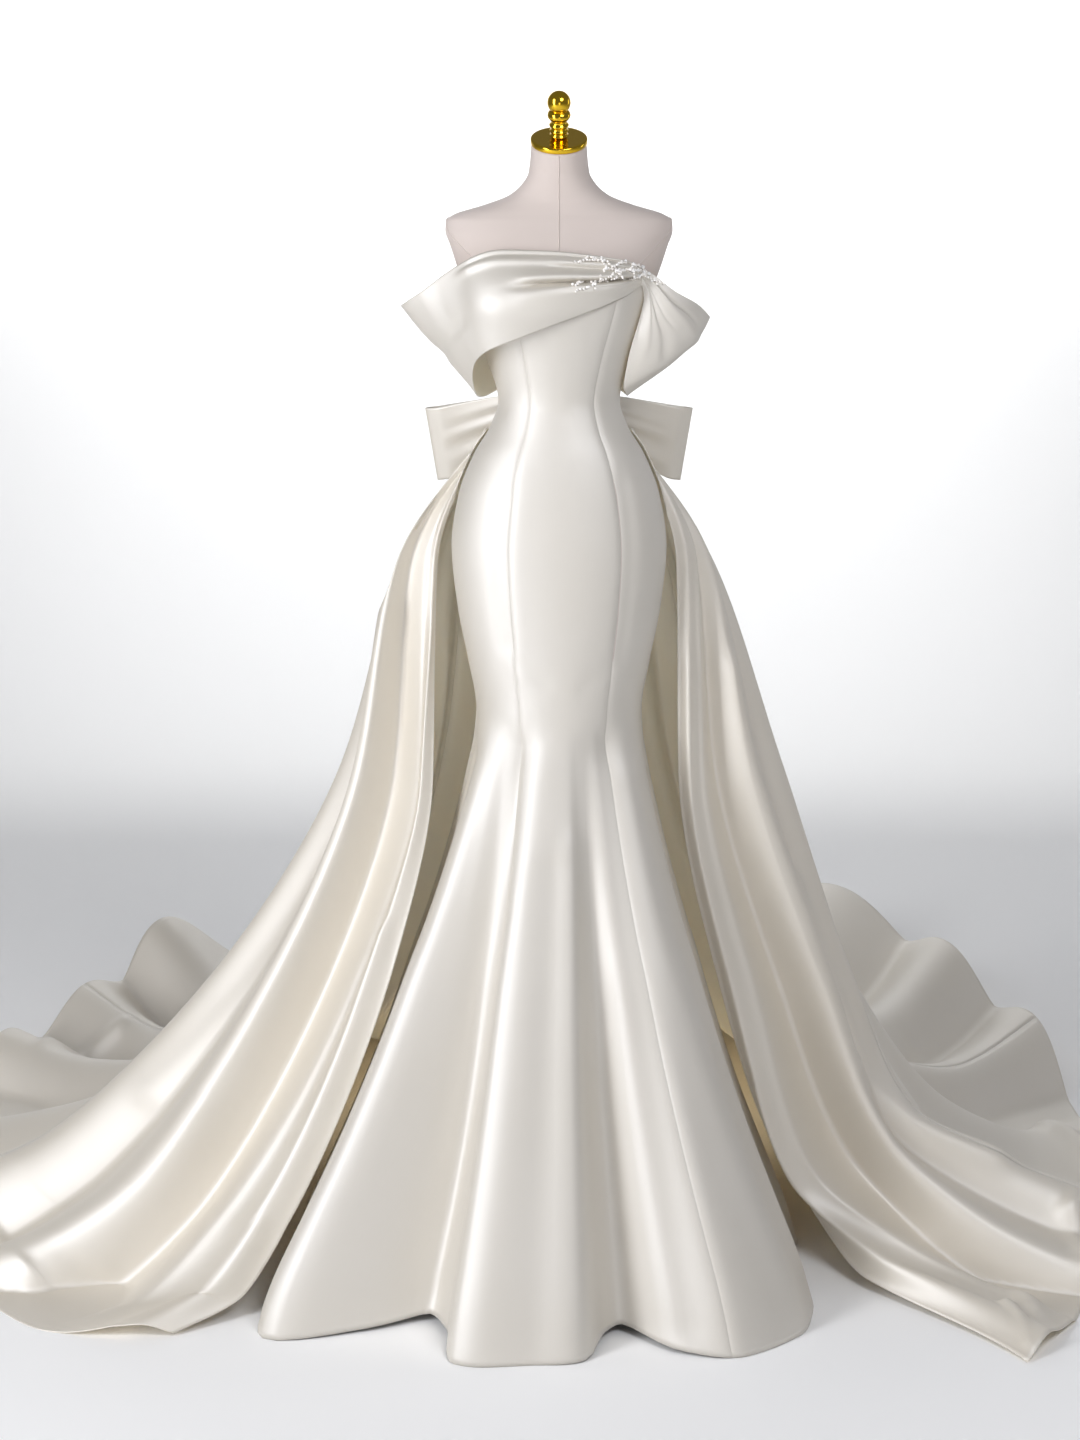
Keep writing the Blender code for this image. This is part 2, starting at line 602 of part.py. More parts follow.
def build_overskirt():
    """Six panels of the overskirt and train, lofted through its folds and laid on the floor."""
    folds = {name: column(FOLDS, FOLD_COLUMNS, name) for name in FOLD_COLUMNS}
    side = np.abs(folds["waist"] - 180.0) / 90.0
    waist_height = WAIST_BACK + (WAIST_SIDE - WAIST_BACK) * np.clip(side, 0.0, 1.0) ** 2
    waist_radius = gown_radius(folds["waist"], waist_height) + WAIST_GAP
    count = len(FOLDS)
    thigh_azimuth = (folds["hip_azimuth"] + folds["shin_azimuth"]) / 2.0
    azimuth = (folds["waist"], folds["hip_azimuth"], thigh_azimuth, folds["shin_azimuth"],
               folds["low_azimuth"], folds["floor_azimuth"], folds["hem_azimuth"])
    radius = (waist_radius, folds["hip_radius"], folds["thigh_radius"], folds["shin_radius"],
              folds["low_radius"], folds["floor_radius"], folds["hem_radius"])
    height = (waist_height, np.full(count, HIP_HEIGHT), np.full(count, THIGH_HEIGHT),
              np.full(count, SHIN_HEIGHT), folds["low_height"], folds["floor_height"],
              folds["hem_height"])
    across = np.linspace(0.0, count - 1, (count - 1) * FOLD_STRIPS + 1)
    keys = np.arange(count)
    wave = np.sin(math.pi * (across % 1.0)) ** 2
    between = np.minimum(across.astype(int), count - 2)
    lines = []
    for share in FOLD_SHARES:
        angle, reach, level = (
            smooth(keys, [smooth(STATION_SHARES, [stop[fold] for stop in stops], share)
                          for fold in range(count)], across)
            for stops in (azimuth, radius, height))
        lines.append(np.stack((-reach * np.sin(np.radians(angle)),
                               -reach * np.cos(np.radians(angle)), level), axis=-1))
    points = np.array(lines)
    shares = np.array(FOLD_SHARES)
    chords = points[:, FOLD_STRIPS::FOLD_STRIPS] - points[:, :-1:FOLD_STRIPS]
    downs = np.gradient(points[:, FOLD_STRIPS // 2::FOLD_STRIPS], shares, axis=0)
    inward = np.cross(downs, chords)
    inward = inward / np.linalg.norm(inward, axis=2, keepdims=True)
    lying = np.clip((shares - FLOOR_SHARE + LYING_SHARE) / LYING_SHARE, 0.0, 1.0)
    strength = np.minimum(1.0, shares / SHIN_SHARE) ** DIP_POWER * (1.0 + (DROP_FACTOR - 1.0) * lying)
    depth = folds["dip"][:-1] * strength[:, None]
    depth = np.minimum(depth, DEEPEST_DIP * np.linalg.norm(chords, axis=2))
    points = points + inward[:, between] * (depth[:, between] * wave)[..., None]
    points[..., 2] = np.maximum(points[..., 2], WALL / 2.0)
    reach = np.hypot(points[..., 0], points[..., 1])
    angle = np.degrees(np.arctan2(-points[..., 0], -points[..., 1]))
    clear = WAIST_GAP + (OVERSKIRT_GAP - WAIST_GAP) * np.minimum(1.0, shares / FOLD_SHARES[1])
    least = gown_radius(angle, points[..., 2]) + clear[:, None]
    push = np.where(shares[:, None] <= LOW_SHARE, np.maximum(1.0, least / reach), 1.0)
    points[..., :2] = points[..., :2] * push[..., None]
    normals = grid_normals(points)
    for name, first, last in OVERSKIRT_PANELS:
        part = slice(first * FOLD_STRIPS, last * FOLD_STRIPS + 1)
        add_wall(name, points[:, part], normals[:, part], SATIN, floor=0.0,
                 gaps=(first > 0, last < count - 1))


def build_bow():
    """Two open loops of a flat bow at the back of the waist, held by a knot."""
    knot_low = BOW[0][2] - KNOT_HALF_HEIGHT
    depth = BOW[-1][1] - BOW[0][1] + WALL + 2.0 * KNOT_ROOM
    half_depth = depth / 2.0 + WALL / 2.0
    behind = float(body_size(knot_low, "back")) + WALL / 2.0
    middle = behind + WALL / 2.0 + KNOT_SWELL + half_depth
    start = middle - (BOW[0][1] + BOW[-1][1]) / 2.0
    last = len(BOW) - 1
    rows = np.linspace(0.0, last, last * BOW_STRIPS + 1)
    keys = np.arange(len(BOW))
    size = {name: smooth(keys, column(BOW, BOW_COLUMNS, name), rows) for name in BOW_COLUMNS}
    for name, hand in (("bow_loop_left", -1.0), ("bow_loop_right", 1.0)):
        lines = []
        for share in np.linspace(1.0, -1.0, BOW_BANDS + 1):
            rise = share * size["half_height"]
            lean = np.clip((size["out"] - BOW_LEAN_START) / BOW_LEAN_LENGTH, 0.0, 1.0)
            out = size["out"] + rise * BOW_LEAN_OUT * lean
            back = start + size["back"] - rise * BOW_LEAN_BACK * lean
            lines.append(np.stack((hand * out, back, size["height"] + rise), axis=-1))
        points = np.array(lines)
        normals = grid_normals(points)
        add_wall(name, points, normals, SATIN, gaps=(False, False))
    half_height = KNOT_HALF_HEIGHT + WALL / 2.0
    lines = []
    for place in np.linspace(-KNOT_HALF_WIDTH, KNOT_HALF_WIDTH, 3):
        swell = KNOT_SWELL * math.cos(math.pi * place / KNOT_HALF_WIDTH / 2.0)
        ring = []
        for turn in np.linspace(0.0, 2.0 * math.pi, KNOT_STEPS + 1):
            cosine = math.cos(turn)
            sine = math.sin(turn)
            ring.append((place,
                         middle + (half_depth + swell) * abs(cosine) ** KNOT_ROUNDNESS * np.sign(cosine),
                         BOW[0][2] + (half_height + swell) * abs(sine) ** KNOT_ROUNDNESS * np.sign(sine)))
        lines.append(ring)
    points = np.array(lines)
    normals = grid_normals(points, ring=True)
    add_wall("bow_knot", points, normals, SATIN)


GOWN_AZIMUTHS = build_gown()
build_form(GOWN_AZIMUTHS)
build_drape()
build_overskirt()
build_bow()
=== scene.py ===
"""Looks of a mermaid wedding dress in duchess satin on its dress form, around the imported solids.

An azimuth is in degrees round the form: 0 is the front (-Y), 90 is -X, 180 is the back.
"""
import math

import bpy
import numpy as np
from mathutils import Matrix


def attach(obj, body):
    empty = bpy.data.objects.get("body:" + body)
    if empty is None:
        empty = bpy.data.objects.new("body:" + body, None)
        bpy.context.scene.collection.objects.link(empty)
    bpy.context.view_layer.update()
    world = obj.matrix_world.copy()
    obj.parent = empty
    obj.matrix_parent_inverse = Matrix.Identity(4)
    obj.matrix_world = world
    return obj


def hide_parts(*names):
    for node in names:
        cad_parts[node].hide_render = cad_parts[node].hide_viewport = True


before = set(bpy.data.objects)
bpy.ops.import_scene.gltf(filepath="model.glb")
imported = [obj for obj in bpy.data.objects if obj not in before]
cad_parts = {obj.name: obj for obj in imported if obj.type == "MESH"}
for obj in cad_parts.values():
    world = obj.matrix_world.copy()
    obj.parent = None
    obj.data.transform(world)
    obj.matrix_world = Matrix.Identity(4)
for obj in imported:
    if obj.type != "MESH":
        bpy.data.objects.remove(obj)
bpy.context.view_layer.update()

# Camera
# The photograph looks down by 12.6 degrees from 4 m in front, at about the height of the form's
# neck, with a lens of about 61 mm on a 36 mm frame's long side.
CAMERA_DISTANCE = 4.0
CAMERA_HEIGHT = 1.85
CAMERA_SHIFT = -0.0132
CAMERA_PITCH = 12.62
LENS = 61.53
FRAME_SIDE = 36.0


def add_object(name, data):
    """A new object in the scene."""
    item = bpy.data.objects.new(name, data)
    bpy.context.scene.collection.objects.link(item)
    return item


camera_data = bpy.data.cameras.new("camera")
camera_data.sensor_fit = "VERTICAL"
camera_data.sensor_height = FRAME_SIDE
camera_data.lens = LENS
camera_data.shift_x = CAMERA_SHIFT
camera = add_object("camera", camera_data)
camera.location = (0.0, -CAMERA_DISTANCE, CAMERA_HEIGHT)
camera.rotation_euler = (math.radians(90.0 - CAMERA_PITCH), 0.0, 0.0)
bpy.context.scene.camera = camera


# Studio
# A white sweep of painted board curves up into a back wall, and its back is clear to a view from
# behind. A tall soft box on the viewer's left lights the dress, smaller ones fill from above, the
# front and the right, and a small lamp under the skirt lights the floor alone.
FLOOR_HALF = 9.0
SWEEP_START = 3.6
SWEEP_RADIUS = 1.2
SWEEP_STEPS = 12
WALL_TOP = 5.0
AIR_STRENGTH = 0.18
# Each box: name, place, the point it looks at, its width and height, power in watts, colour.
SOFT_BOXES = (
    ("key_box", (-3.0, -2.5, 2.0), (0.0, 0.0, 1.0), (1.0, 3.4), 127.0, "#FAFBFF"),
    ("top_box", (1.3, -2.3, 3.1), (1.0, 0.0, 0.0), (1.2, 1.2), 44.0, "#FAFBFF"),
    ("front_fill", (0.3, -4.2, 0.9), (0.0, 0.0, 0.7), (0.8, 1.4), 8.0, "#FFF6EA"),
    ("right_strip", (3.3, 0.9, 2.0), (0.0, 0.2, 0.8), (0.4, 1.8), 6.0, "#F6F8FF"),
    ("wall_wash", (0.0, 3.0, 2.7), (0.0, 4.8, 2.5), (4.0, 0.5), 80.0, "#FFFFFF"),
    ("lamp_under_skirt", (0.0, 0.50, 0.26), (0.0, 0.85, 0.0), (0.5, 0.1), 1.1, "#F0DDB8"),
)


def linear(code):
    """An sRGB hex colour as linear RGBA."""
    parts = [int(code[place:place + 2], 16) / 255.0 for place in (1, 3, 5)]
    return tuple(c / 12.92 if c <= 0.04045 else ((c + 0.055) / 1.055) ** 2.4 for c in parts) + (1.0,)


def add_node(tree, kind, links=None, values=None, **settings):
    """Add a node with its settings, input values and links from (node, output) pairs."""
    item = tree.nodes.new(kind)
    for name, value in settings.items():
        setattr(item, name, value)
    for name, value in (values or {}).items():
        item.inputs[name].default_value = value
    for name, (source, output) in (links or {}).items():
        tree.links.new(source.outputs[output], item.inputs[name])
    return item


def new_material(name, values):
    """A material, whose shader takes the given input values, and its node tree."""
    material = bpy.data.materials.new(name)
    material.use_nodes = True
    for label, value in values.items():
        material.node_tree.nodes["Principled BSDF"].inputs[label].default_value = value
    return material, material.node_tree


def add_mesh(name, vertices, faces, material, uvs=None):
    """A smooth mesh object at the origin, with metres as its UV where they are given."""
    mesh = bpy.data.meshes.new(name)
    mesh.from_pydata([tuple(map(float, vertex)) for vertex in vertices], [], faces)
    if uvs is not None:
        layer = mesh.uv_layers.new(name="cloth")
        corners = np.empty(len(mesh.loops), dtype=np.int32)
        mesh.loops.foreach_get("vertex_index", corners)
        layer.data.foreach_set("uv", np.asarray(uvs, np.float32)[corners].ravel())
    mesh.materials.append(material)
    mesh.shade_smooth()
    return add_object(name, mesh)


board, board_tree = new_material("painted_board", {"Base Color": linear("#FCFCFB"), "Roughness": 0.85})
board_clear = add_node(board_tree, "ShaderNodeBsdfTransparent")
board_side = add_node(board_tree, "ShaderNodeNewGeometry")
board_shader = board_tree.nodes["Principled BSDF"]
board_mix = add_node(board_tree, "ShaderNodeMixShader", {
    "Fac": (board_side, "Backfacing"), 1: (board_shader, "BSDF"), 2: (board_clear, "BSDF")})
board_tree.links.new(board_mix.outputs["Shader"], board_tree.nodes["Material Output"].inputs["Surface"])
sweep_line = [(-FLOOR_HALF, 0.0), (SWEEP_START, 0.0)]
for step in range(1, SWEEP_STEPS + 1):
    turn = math.radians(step * 90.0 / SWEEP_STEPS)
    sweep_line.append((SWEEP_START + SWEEP_RADIUS * math.sin(turn), SWEEP_RADIUS * (1.0 - math.cos(turn))))
sweep_line.append((SWEEP_START + SWEEP_RADIUS, WALL_TOP))
sweep_points = [(side, y, z) for y, z in sweep_line for side in (-FLOOR_HALF, FLOOR_HALF)]
sweep_faces = [(2 * row, 2 * row + 1, 2 * row + 3, 2 * row + 2) for row in range(len(sweep_line) - 1)]
sweep = add_mesh("studio_sweep", sweep_points, sweep_faces, board)


def add_soft_box(name, place, aim, size, power, colour):
    """A rectangular area light that looks at a point."""
    data = bpy.data.lights.new(name, "AREA")
    data.shape = "RECTANGLE"
    data.size, data.size_y = size
    data.energy = power
    data.color = linear(colour)[:3]
    lamp = add_object(name, data)
    lamp.location = place
    direction = np.array(aim, float) - np.array(place, float)
    level = math.hypot(direction[0], direction[1])
    lamp.rotation_euler = (math.atan2(level, -direction[2]), 0.0,
                           math.atan2(direction[1], direction[0]) - math.pi / 2.0)
    return lamp


lamps = {row[0]: add_soft_box(*row) for row in SOFT_BOXES}
floor_only = bpy.data.collections.new("floor_only")
floor_only.objects.link(sweep)
lamps["lamp_under_skirt"].light_linking.receiver_collection = floor_only
world = bpy.data.worlds.new("studio_air")
bpy.context.scene.world = world
world.use_nodes = True
air = world.node_tree.nodes["Background"]
air.inputs["Color"].default_value = linear("#F4F6FF")
air.inputs["Strength"].default_value = AIR_STRENGTH
bpy.context.scene.view_settings.view_transform = "Standard"


# Duchess satin
# The whole dress is heavy ivory duchess satin: silk-like threads float over five at a time, so
# light runs over it in broad soft bands; where light is thrown back, its insides are painted warmer.
SATIN_IVORY = "#CBC4B8"
SATIN_CREAM = "#C5BDAD"
# Painted light: the overskirt and bow take a lighter, warmer copy of the satin, its tone painted to stand in
# for light through the unlined cloth.
PAINTED_GLOW_IVORY = "#D6CDBC"
PAINTED_GLOW_CREAM = "#D1C6B2"
# Painted light: the cloth's inside takes a warm bright cream that stands in for light bounced round inside
# the skirt and drape.
PAINTED_BOUNCE_CREAM = "#FFEFCE"
PAINTED_BOUNCE_BUFF = "#FAE7C0"
DRIFT_SCALE = 3.5
SLUB_LENGTH = 0.055
SLUB_WIDTH = 0.0014
SLUB_HEIGHT = 0.00012
FLOAT_SCALE = 420.0
FLOAT_HEIGHT = 0.00004
GLOW_DEPTH = 0.014
CLOTH_THICKNESS = 0.0016


def add_noise(tree, place, scale, detail):
    """A noise texture at the place that a (node, output) pair gives."""
    return add_node(tree, "ShaderNodeTexNoise", {"Vector": place}, {"Scale": scale, "Detail": detail})


def drive(tree, label, source, output):
    """Let a node's output drive an input of the tree's shader."""
    tree.links.new(source.outputs[output], tree.nodes["Principled BSDF"].inputs[label])


def mix_tones(tree, noise, first, second):
    """Let the shader's colour drift between two tones with a noise texture."""
    mix = add_node(tree, "ShaderNodeMix", {"Factor": (noise, "Fac")}, {6: linear(first), 7: linear(second)},
                   data_type="RGBA")
    drive(tree, "Base Color", mix, 2)


def vary_gloss(tree, noise, low, high):
    """Let the shader's roughness run from low to high with a noise texture."""
    gloss = add_node(tree, "ShaderNodeMapRange", {"Value": (noise, "Fac")}, {"To Min": low, "To Max": high})
    drive(tree, "Roughness", gloss, "Result")


def lay_bumps(tree, *layers):
    """Bumps on the shader, each over the one before it: a (node, output) pair, strength and depth."""
    under = {}
    for height, strength, depth in layers:
        bump = add_node(tree, "ShaderNodeBump", {"Height": height, **under},
                        {"Strength": strength, "Distance": depth})
        under = {"Normal": (bump, "Normal")}
    drive(tree, "Normal", bump, "Normal")


def satin_material(name, face, second, glow, warmth, gloss):
    """Ivory satin whose UVs are metres, with the warp along the second of them."""
    material, tree = new_material(name, {
        "IOR": 2.5, "Specular IOR Level": 1.0, "Sheen Weight": 0.10, "Sheen Roughness": 0.35,
        "Subsurface Weight": glow, "Subsurface Radius": warmth, "Subsurface Scale": GLOW_DEPTH})
    metres = (add_node(tree, "ShaderNodeUVMap", uv_map="cloth"), "UV")
    mix_tones(tree, add_noise(tree, metres, DRIFT_SCALE, 2.0), face, second)
    run = add_node(tree, "ShaderNodeMapping", {"Vector": metres},
                   {"Scale": (1.0 / SLUB_WIDTH, 1.0 / SLUB_LENGTH, 1.0)})
    slub = add_noise(tree, (run, "Vector"), 1.0, 2.0)
    floats = add_node(tree, "ShaderNodeTexWave", {"Vector": metres},
                      {"Scale": FLOAT_SCALE, "Distortion": 2.0, "Detail": 1.0}, bands_direction="DIAGONAL")
    lay_bumps(tree, ((slub, "Fac"), 0.35, SLUB_HEIGHT), ((floats, "Fac"), 0.15, FLOAT_HEIGHT))
    vary_gloss(tree, slub, *gloss)
    return material


satin = satin_material("duchess_satin", SATIN_IVORY, SATIN_CREAM, 0.06, (1.0, 0.96, 0.90), (0.53, 0.64))
# A lighter, warmer copy of the satin: painted light through the unlined cloth, beside its real subsurface
# glow.
satin_painted_glow = satin_material("duchess_satin_painted_glow", PAINTED_GLOW_IVORY, PAINTED_GLOW_CREAM, 0.20,
                               (1.0, 0.93, 0.84), (0.52, 0.62))
# Its rougher gloss is the satin's own back; its warm bright cream is painted bounce light.
satin_painted_bounce = satin_material("duchess_satin_painted_bounce", PAINTED_BOUNCE_CREAM, PAINTED_BOUNCE_BUFF, 0.7, (1.0, 0.86, 0.72), (0.58, 0.68))


def smooth(keys, values, at):
    """Values of a monotone cubic through a table's column, at any places along its keys."""
    keys = np.asarray(keys, float)
    values = np.asarray(values, float)
    steps = np.diff(keys)
    slopes = np.diff(values) / steps
    tangents = np.zeros_like(values)
    tangents[0] = slopes[0]
    tangents[-1] = slopes[-1]
    both = slopes[:-1] * slopes[1:]
    heavy = 2.0 * steps[1:] + steps[:-1]
    light = steps[1:] + 2.0 * steps[:-1]
    same = both > 0.0
    tangents[1:-1][same] = (heavy + light)[same] / (
        heavy[same] / slopes[:-1][same] + light[same] / slopes[1:][same])
    at = np.clip(np.asarray(at, float), keys[0], keys[-1])
    cell = np.clip(np.searchsorted(keys, at, side="right") - 1, 0, len(keys) - 2)
    share = (at - keys[cell]) / steps[cell]
    rest = 1.0 - share
    low = values[cell] * (1.0 + 2.0 * share) * rest ** 2 + tangents[cell] * steps[cell] * share * rest ** 2
    high = values[cell + 1] * (3.0 - 2.0 * share) * share ** 2
    return low + high - tangents[cell + 1] * steps[cell] * rest * share ** 2


def unit(vectors):
    """Vectors at a length of 1."""
    return vectors / np.linalg.norm(vectors, axis=-1, keepdims=True)


def column(rows, columns, name):
    """One named column of a table."""
    place = columns.index(name)
    return np.array([row[place] for row in rows], float)


def smooth_sections(table, columns, strips):
    """Places that divide each step between a table's rows evenly, and every column at them."""
    rows = np.arange(len(table))
    places = np.linspace(0.0, rows[-1], rows[-1] * strips + 1)
    return places, {name: smooth(rows, column(table, columns, name), places) for name in columns}


def add_cloth(name, points, face=satin, back=None):
    """A thin cloth shell on a grid of points that replaces the solid of the same name."""
    rows, columns = points.shape[:2]
    across = np.linalg.norm(np.diff(points, axis=1), axis=2)
    along = np.linalg.norm(np.diff(points, axis=0), axis=2)
    u = np.concatenate((np.zeros((rows, 1)), np.cumsum(across, axis=1)), axis=1)
    u -= u[:, -1:] / 2.0
    v = np.concatenate((np.zeros((1, columns)), np.cumsum(along, axis=0)), axis=0)
    start = np.arange(rows - 1)[:, None] * columns + np.arange(columns - 1)[None, :]
    faces = np.stack((start, start + 1, start + columns + 1, start + columns), axis=-1).reshape(-1, 4)
    piece = add_mesh(name + "_cloth", points.reshape(-1, 3), faces.tolist(), face,
                     np.stack((u, v), axis=-1).reshape(-1, 2))
    wall = piece.modifiers.new("thickness", "SOLIDIFY")
    wall.thickness = CLOTH_THICKNESS
    wall.offset = 0.0
    if back is not None:
        piece.data.materials.append(back)
        wall.material_offset = 1
    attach(piece, "root")
    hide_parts(name)


# Gown
# A strapless mermaid gown cut in seven long panels with princess seams, close to the knee and
# then sprung into flutes that stand on the floor; each seam is pressed open and sinks a little.
KNEE_HEIGHT = 0.978
HEM_RADIUS = 0.435
FLUTE_CURVE = 2.2
LIFT_HEIGHT = 0.3
BODY_COLUMNS = ("height", "half_width", "front", "back", "shift")
BODY = (
    (0.000, 0.435, 0.435, 0.435, 0.000),
    (0.075, 0.412, 0.412, 0.412, 0.000),
    (0.181, 0.369, 0.369, 0.369, 0.000),
    (0.294, 0.324, 0.324, 0.324, 0.000),
    (0.399, 0.287, 0.287, 0.287, 0.000),
    (0.464, 0.266, 0.266, 0.266, 0.000),
    (0.564, 0.236, 0.236, 0.236, 0.000),
    (0.638, 0.212, 0.211, 0.211, 0.000),
    (0.726, 0.187, 0.183, 0.183, 0.000),
    (0.810, 0.166, 0.158, 0.158, 0.000),
    (0.872, 0.152, 0.141, 0.141, 0.000),
    (0.935, 0.140, 0.128, 0.128, 0.000),
    (0.978, 0.137, 0.124, 0.125, 0.000),
    (1.060, 0.150, 0.124, 0.129, 0.000),
    (1.150, 0.167, 0.122, 0.134, 0.000),
    (1.248, 0.176, 0.118, 0.134, 0.000),
    (1.330, 0.164, 0.111, 0.124, 0.000),
    (1.400, 0.137, 0.101, 0.104, 0.000),
    (1.445, 0.110, 0.090, 0.088, 0.000),
    (1.485, 0.098, 0.084, 0.079, 0.000),
    (1.550, 0.116, 0.097, 0.085, 0.000),
    (1.600, 0.136, 0.112, 0.092, 0.000),
    (1.640, 0.147, 0.120, 0.096, 0.000),
    (1.670, 0.155, 0.116, 0.097, 0.000),
    (1.705, 0.167, 0.102, 0.094, 0.000),
    (1.730, 0.175, 0.089, 0.090, 0.000),
    (1.755, 0.183, 0.076, 0.084, 0.000),
    (1.771, 0.181, 0.068, 0.079, 0.000),
    (1.780, 0.168, 0.063, 0.076, 0.000),
    (1.795, 0.119, 0.057, 0.071, 0.000),
    (1.809, 0.082, 0.052, 0.065, -0.003),
    (1.825, 0.062, 0.049, 0.057, -0.007),
    (1.845, 0.050, 0.046, 0.051, -0.012),
    (1.910, 0.044, 0.044, 0.047, -0.024),
)
CUP_AZIMUTH = 38.0
CUP_SPREAD = 21.0
CUP_HEIGHT = 1.648
CUP_RISE = 0.042
CUP_DEPTH = 0.009
NECKLINE_COLUMNS = ("azimuth", "height")
NECKLINE = ((0.0, 1.700), (45.0, 1.694), (90.0, 1.668), (140.0, 1.640), (180.0, 1.632))
FLUTE_COLUMNS = ("azimuth", "hem_radius", "lift")
FLUTES = (
    (8.0, 0.426, 0.000),
    (22.0, 0.446, 0.000),
    (30.0, 0.368, 0.012),
    (38.0, 0.345, 0.014),
    (46.0, 0.440, 0.006),
    (56.0, 0.580, 0.000),
    (66.0, 0.530, 0.002),
    (80.0, 0.430, 0.010),
    (97.0, 0.468, 0.000),
    (113.0, 0.400, 0.012),
    (130.0, 0.470, 0.000),
    (146.0, 0.400, 0.012),
    (164.0, 0.475, 0.000),
    (180.0, 0.410, 0.012),
    (197.0, 0.475, 0.000),
    (214.0, 0.400, 0.012),
    (231.0, 0.462, 0.000),
    (247.0, 0.390, 0.012),
    (262.0, 0.425, 0.000),
    (277.0, 0.400, 0.010),
    (298.0, 0.478, 0.000),
    (310.0, 0.502, 0.000),
    (322.0, 0.492, 0.000),
    (333.0, 0.430, 0.006),
    (342.0, 0.325, 0.015),
    (348.0, 0.345, 0.012),
    (354.0, 0.408, 0.002),
)
GOWN_PANELS = (
    ("gown_front_centre", -35.0, 28.0),
    ("gown_side_front_left", 28.0, 88.0),
    ("gown_side_back_left", 88.0, 145.0),
    ("gown_back_left", 145.0, 180.0),
    ("gown_back_right", 180.0, 215.0),
    ("gown_side_back_right", 215.0, 272.0),
    ("gown_side_front_right", 272.0, 325.0),
)
PANEL_STRIPS = 44
GOWN_BANDS = 170
SEAM_DEPTH = 0.0012
SEAM_WIDTH = 0.0065
STITCH_DEPTH = 0.0006
STITCH_WIDTH = 0.0016
# Each crease: from azimuth and height, to azimuth and height, rise, width.
GOWN_CREASES = (
    (34.0, 1.34, 33.0, 1.10, -0.0028, 0.014),
    (24.0, 1.38, 25.0, 1.06, 0.0016, 0.016),
    (-41.0, 1.36, -40.0, 1.08, -0.0022, 0.014),
    (-34.0, 0.94, -29.5, 0.04, -0.010, 0.024),
    (-44.0, 0.88, -53.0, 0.03, 0.007, 0.034),
    (27.0, 0.93, 40.0, 0.05, -0.009, 0.026),
    (40.0, 0.90, 58.0, 0.04, 0.006, 0.034),
    (14.0, 0.90, 17.5, 0.02, 0.005, 0.034),
    (-6.0, 0.78, -3.0, 0.02, 0.004, 0.024),
    (3.0, 0.74, 5.0, 0.02, -0.004, 0.026),
    (75.0, 0.90, 84.0, 0.30, -0.008, 0.022),
    (118.0, 0.92, 114.0, 0.28, -0.010, 0.024),
    (150.0, 0.88, 148.0, 0.30, -0.010, 0.022),
    (183.0, 0.92, 179.0, 0.25, -0.012, 0.022),
    (212.0, 0.90, 215.0, 0.30, -0.010, 0.024),
    (245.0, 0.92, 248.0, 0.26, -0.010, 0.022),
    (276.0, 0.86, 279.0, 0.32, -0.007, 0.020),
    (8.0, 1.598, -20.0, 1.590, -0.0016, 0.007),
    (4.0, 1.612, -16.0, 1.604, 0.0014, 0.006),
    (20.0, 1.475, -6.0, 1.468, -0.0012, 0.008),
    (-12.0, 1.492, -30.0, 1.486, -0.0012, 0.007),
    (24.0, 1.070, 8.0, 1.045, -0.0020, 0.010),
    (-30.0, 1.060, -16.0, 1.036, -0.0018, 0.010),
    (60.0, 1.470, 84.0, 1.462, -0.0014, 0.008),
    (-64.0, 1.476, -86.0, 1.468, -0.0014, 0.008),
    (160.0, 1.050, 140.0, 1.020, -0.0020, 0.010),
    (198.0, 1.046, 222.0, 1.022, -0.0020, 0.010),
)


def body_size(height, name):
    """A size of the form's or gown's oval section at any height."""
    return smooth(column(BODY, BODY_COLUMNS, "height"), column(BODY, BODY_COLUMNS, name), height)


def round_the_body(rows, columns, name, azimuth):
    """A column that repeats every full turn."""
    keys = column(rows, columns, "azimuth")
    values = column(rows, columns, name)
    keys = np.concatenate((keys - 360.0, keys, keys + 360.0))
    return smooth(keys, np.tile(values, 3), np.mod(azimuth, 360.0))


def cup_bulge(azimuth, height):
    """How far the cups stand out from the plain oval."""
    turn = np.mod(np.asarray(azimuth, float) + 180.0, 360.0) - 180.0
    left = np.exp(-((turn - CUP_AZIMUTH) / CUP_SPREAD) ** 2)
    right = np.exp(-((turn + CUP_AZIMUTH) / CUP_SPREAD) ** 2)
    return CUP_DEPTH * (left + right) * np.exp(-((height - CUP_HEIGHT) / CUP_RISE) ** 2)


def flute_share(height):
    """How far the flutes have opened, from 0 at the knee to 1 at the hem."""
    down = np.clip(1.0 - np.asarray(height, float) / KNEE_HEIGHT, 0.0, 1.0)
    return 1.0 - (1.0 - down) ** FLUTE_CURVE


def flute_factor(azimuth, height):
    """The flutes' share of the plain radius."""
    hem = round_the_body(FLUTES, FLUTE_COLUMNS, "hem_radius", azimuth)
    return 1.0 + (hem / HEM_RADIUS - 1.0) * flute_share(height)


def body_depth(angle, height):
    """The oval section's depth on the side, front or back, that an angle in radians is on."""
    return np.where(np.cos(angle) > 0.0, body_size(height, "front"), body_size(height, "back"))


def body_point(azimuth, height, out):
    """Points on the form or gown, moved out level by a distance."""
    angle = np.radians(azimuth)
    swell = out + cup_bulge(azimuth, height)
    factor = flute_factor(azimuth, height)
    half_width = body_size(height, "half_width") * factor + swell
    depth = body_depth(angle, height) * factor + swell
    across = -half_width * np.sin(angle)
    along = body_size(height, "shift") - depth * np.cos(angle)
    return np.stack(np.broadcast_arrays(across, along, np.asarray(height, float)), axis=-1)


def gown_radius(azimuth, height):
    """Radius of the gown in a level direction from the axis."""
    angle = np.radians(azimuth)
    width = body_size(height, "half_width")
    plain = 1.0 / np.sqrt((np.sin(angle) / width) ** 2 + (np.cos(angle) / body_depth(angle, height)) ** 2)
    return plain * flute_factor(azimuth, height)


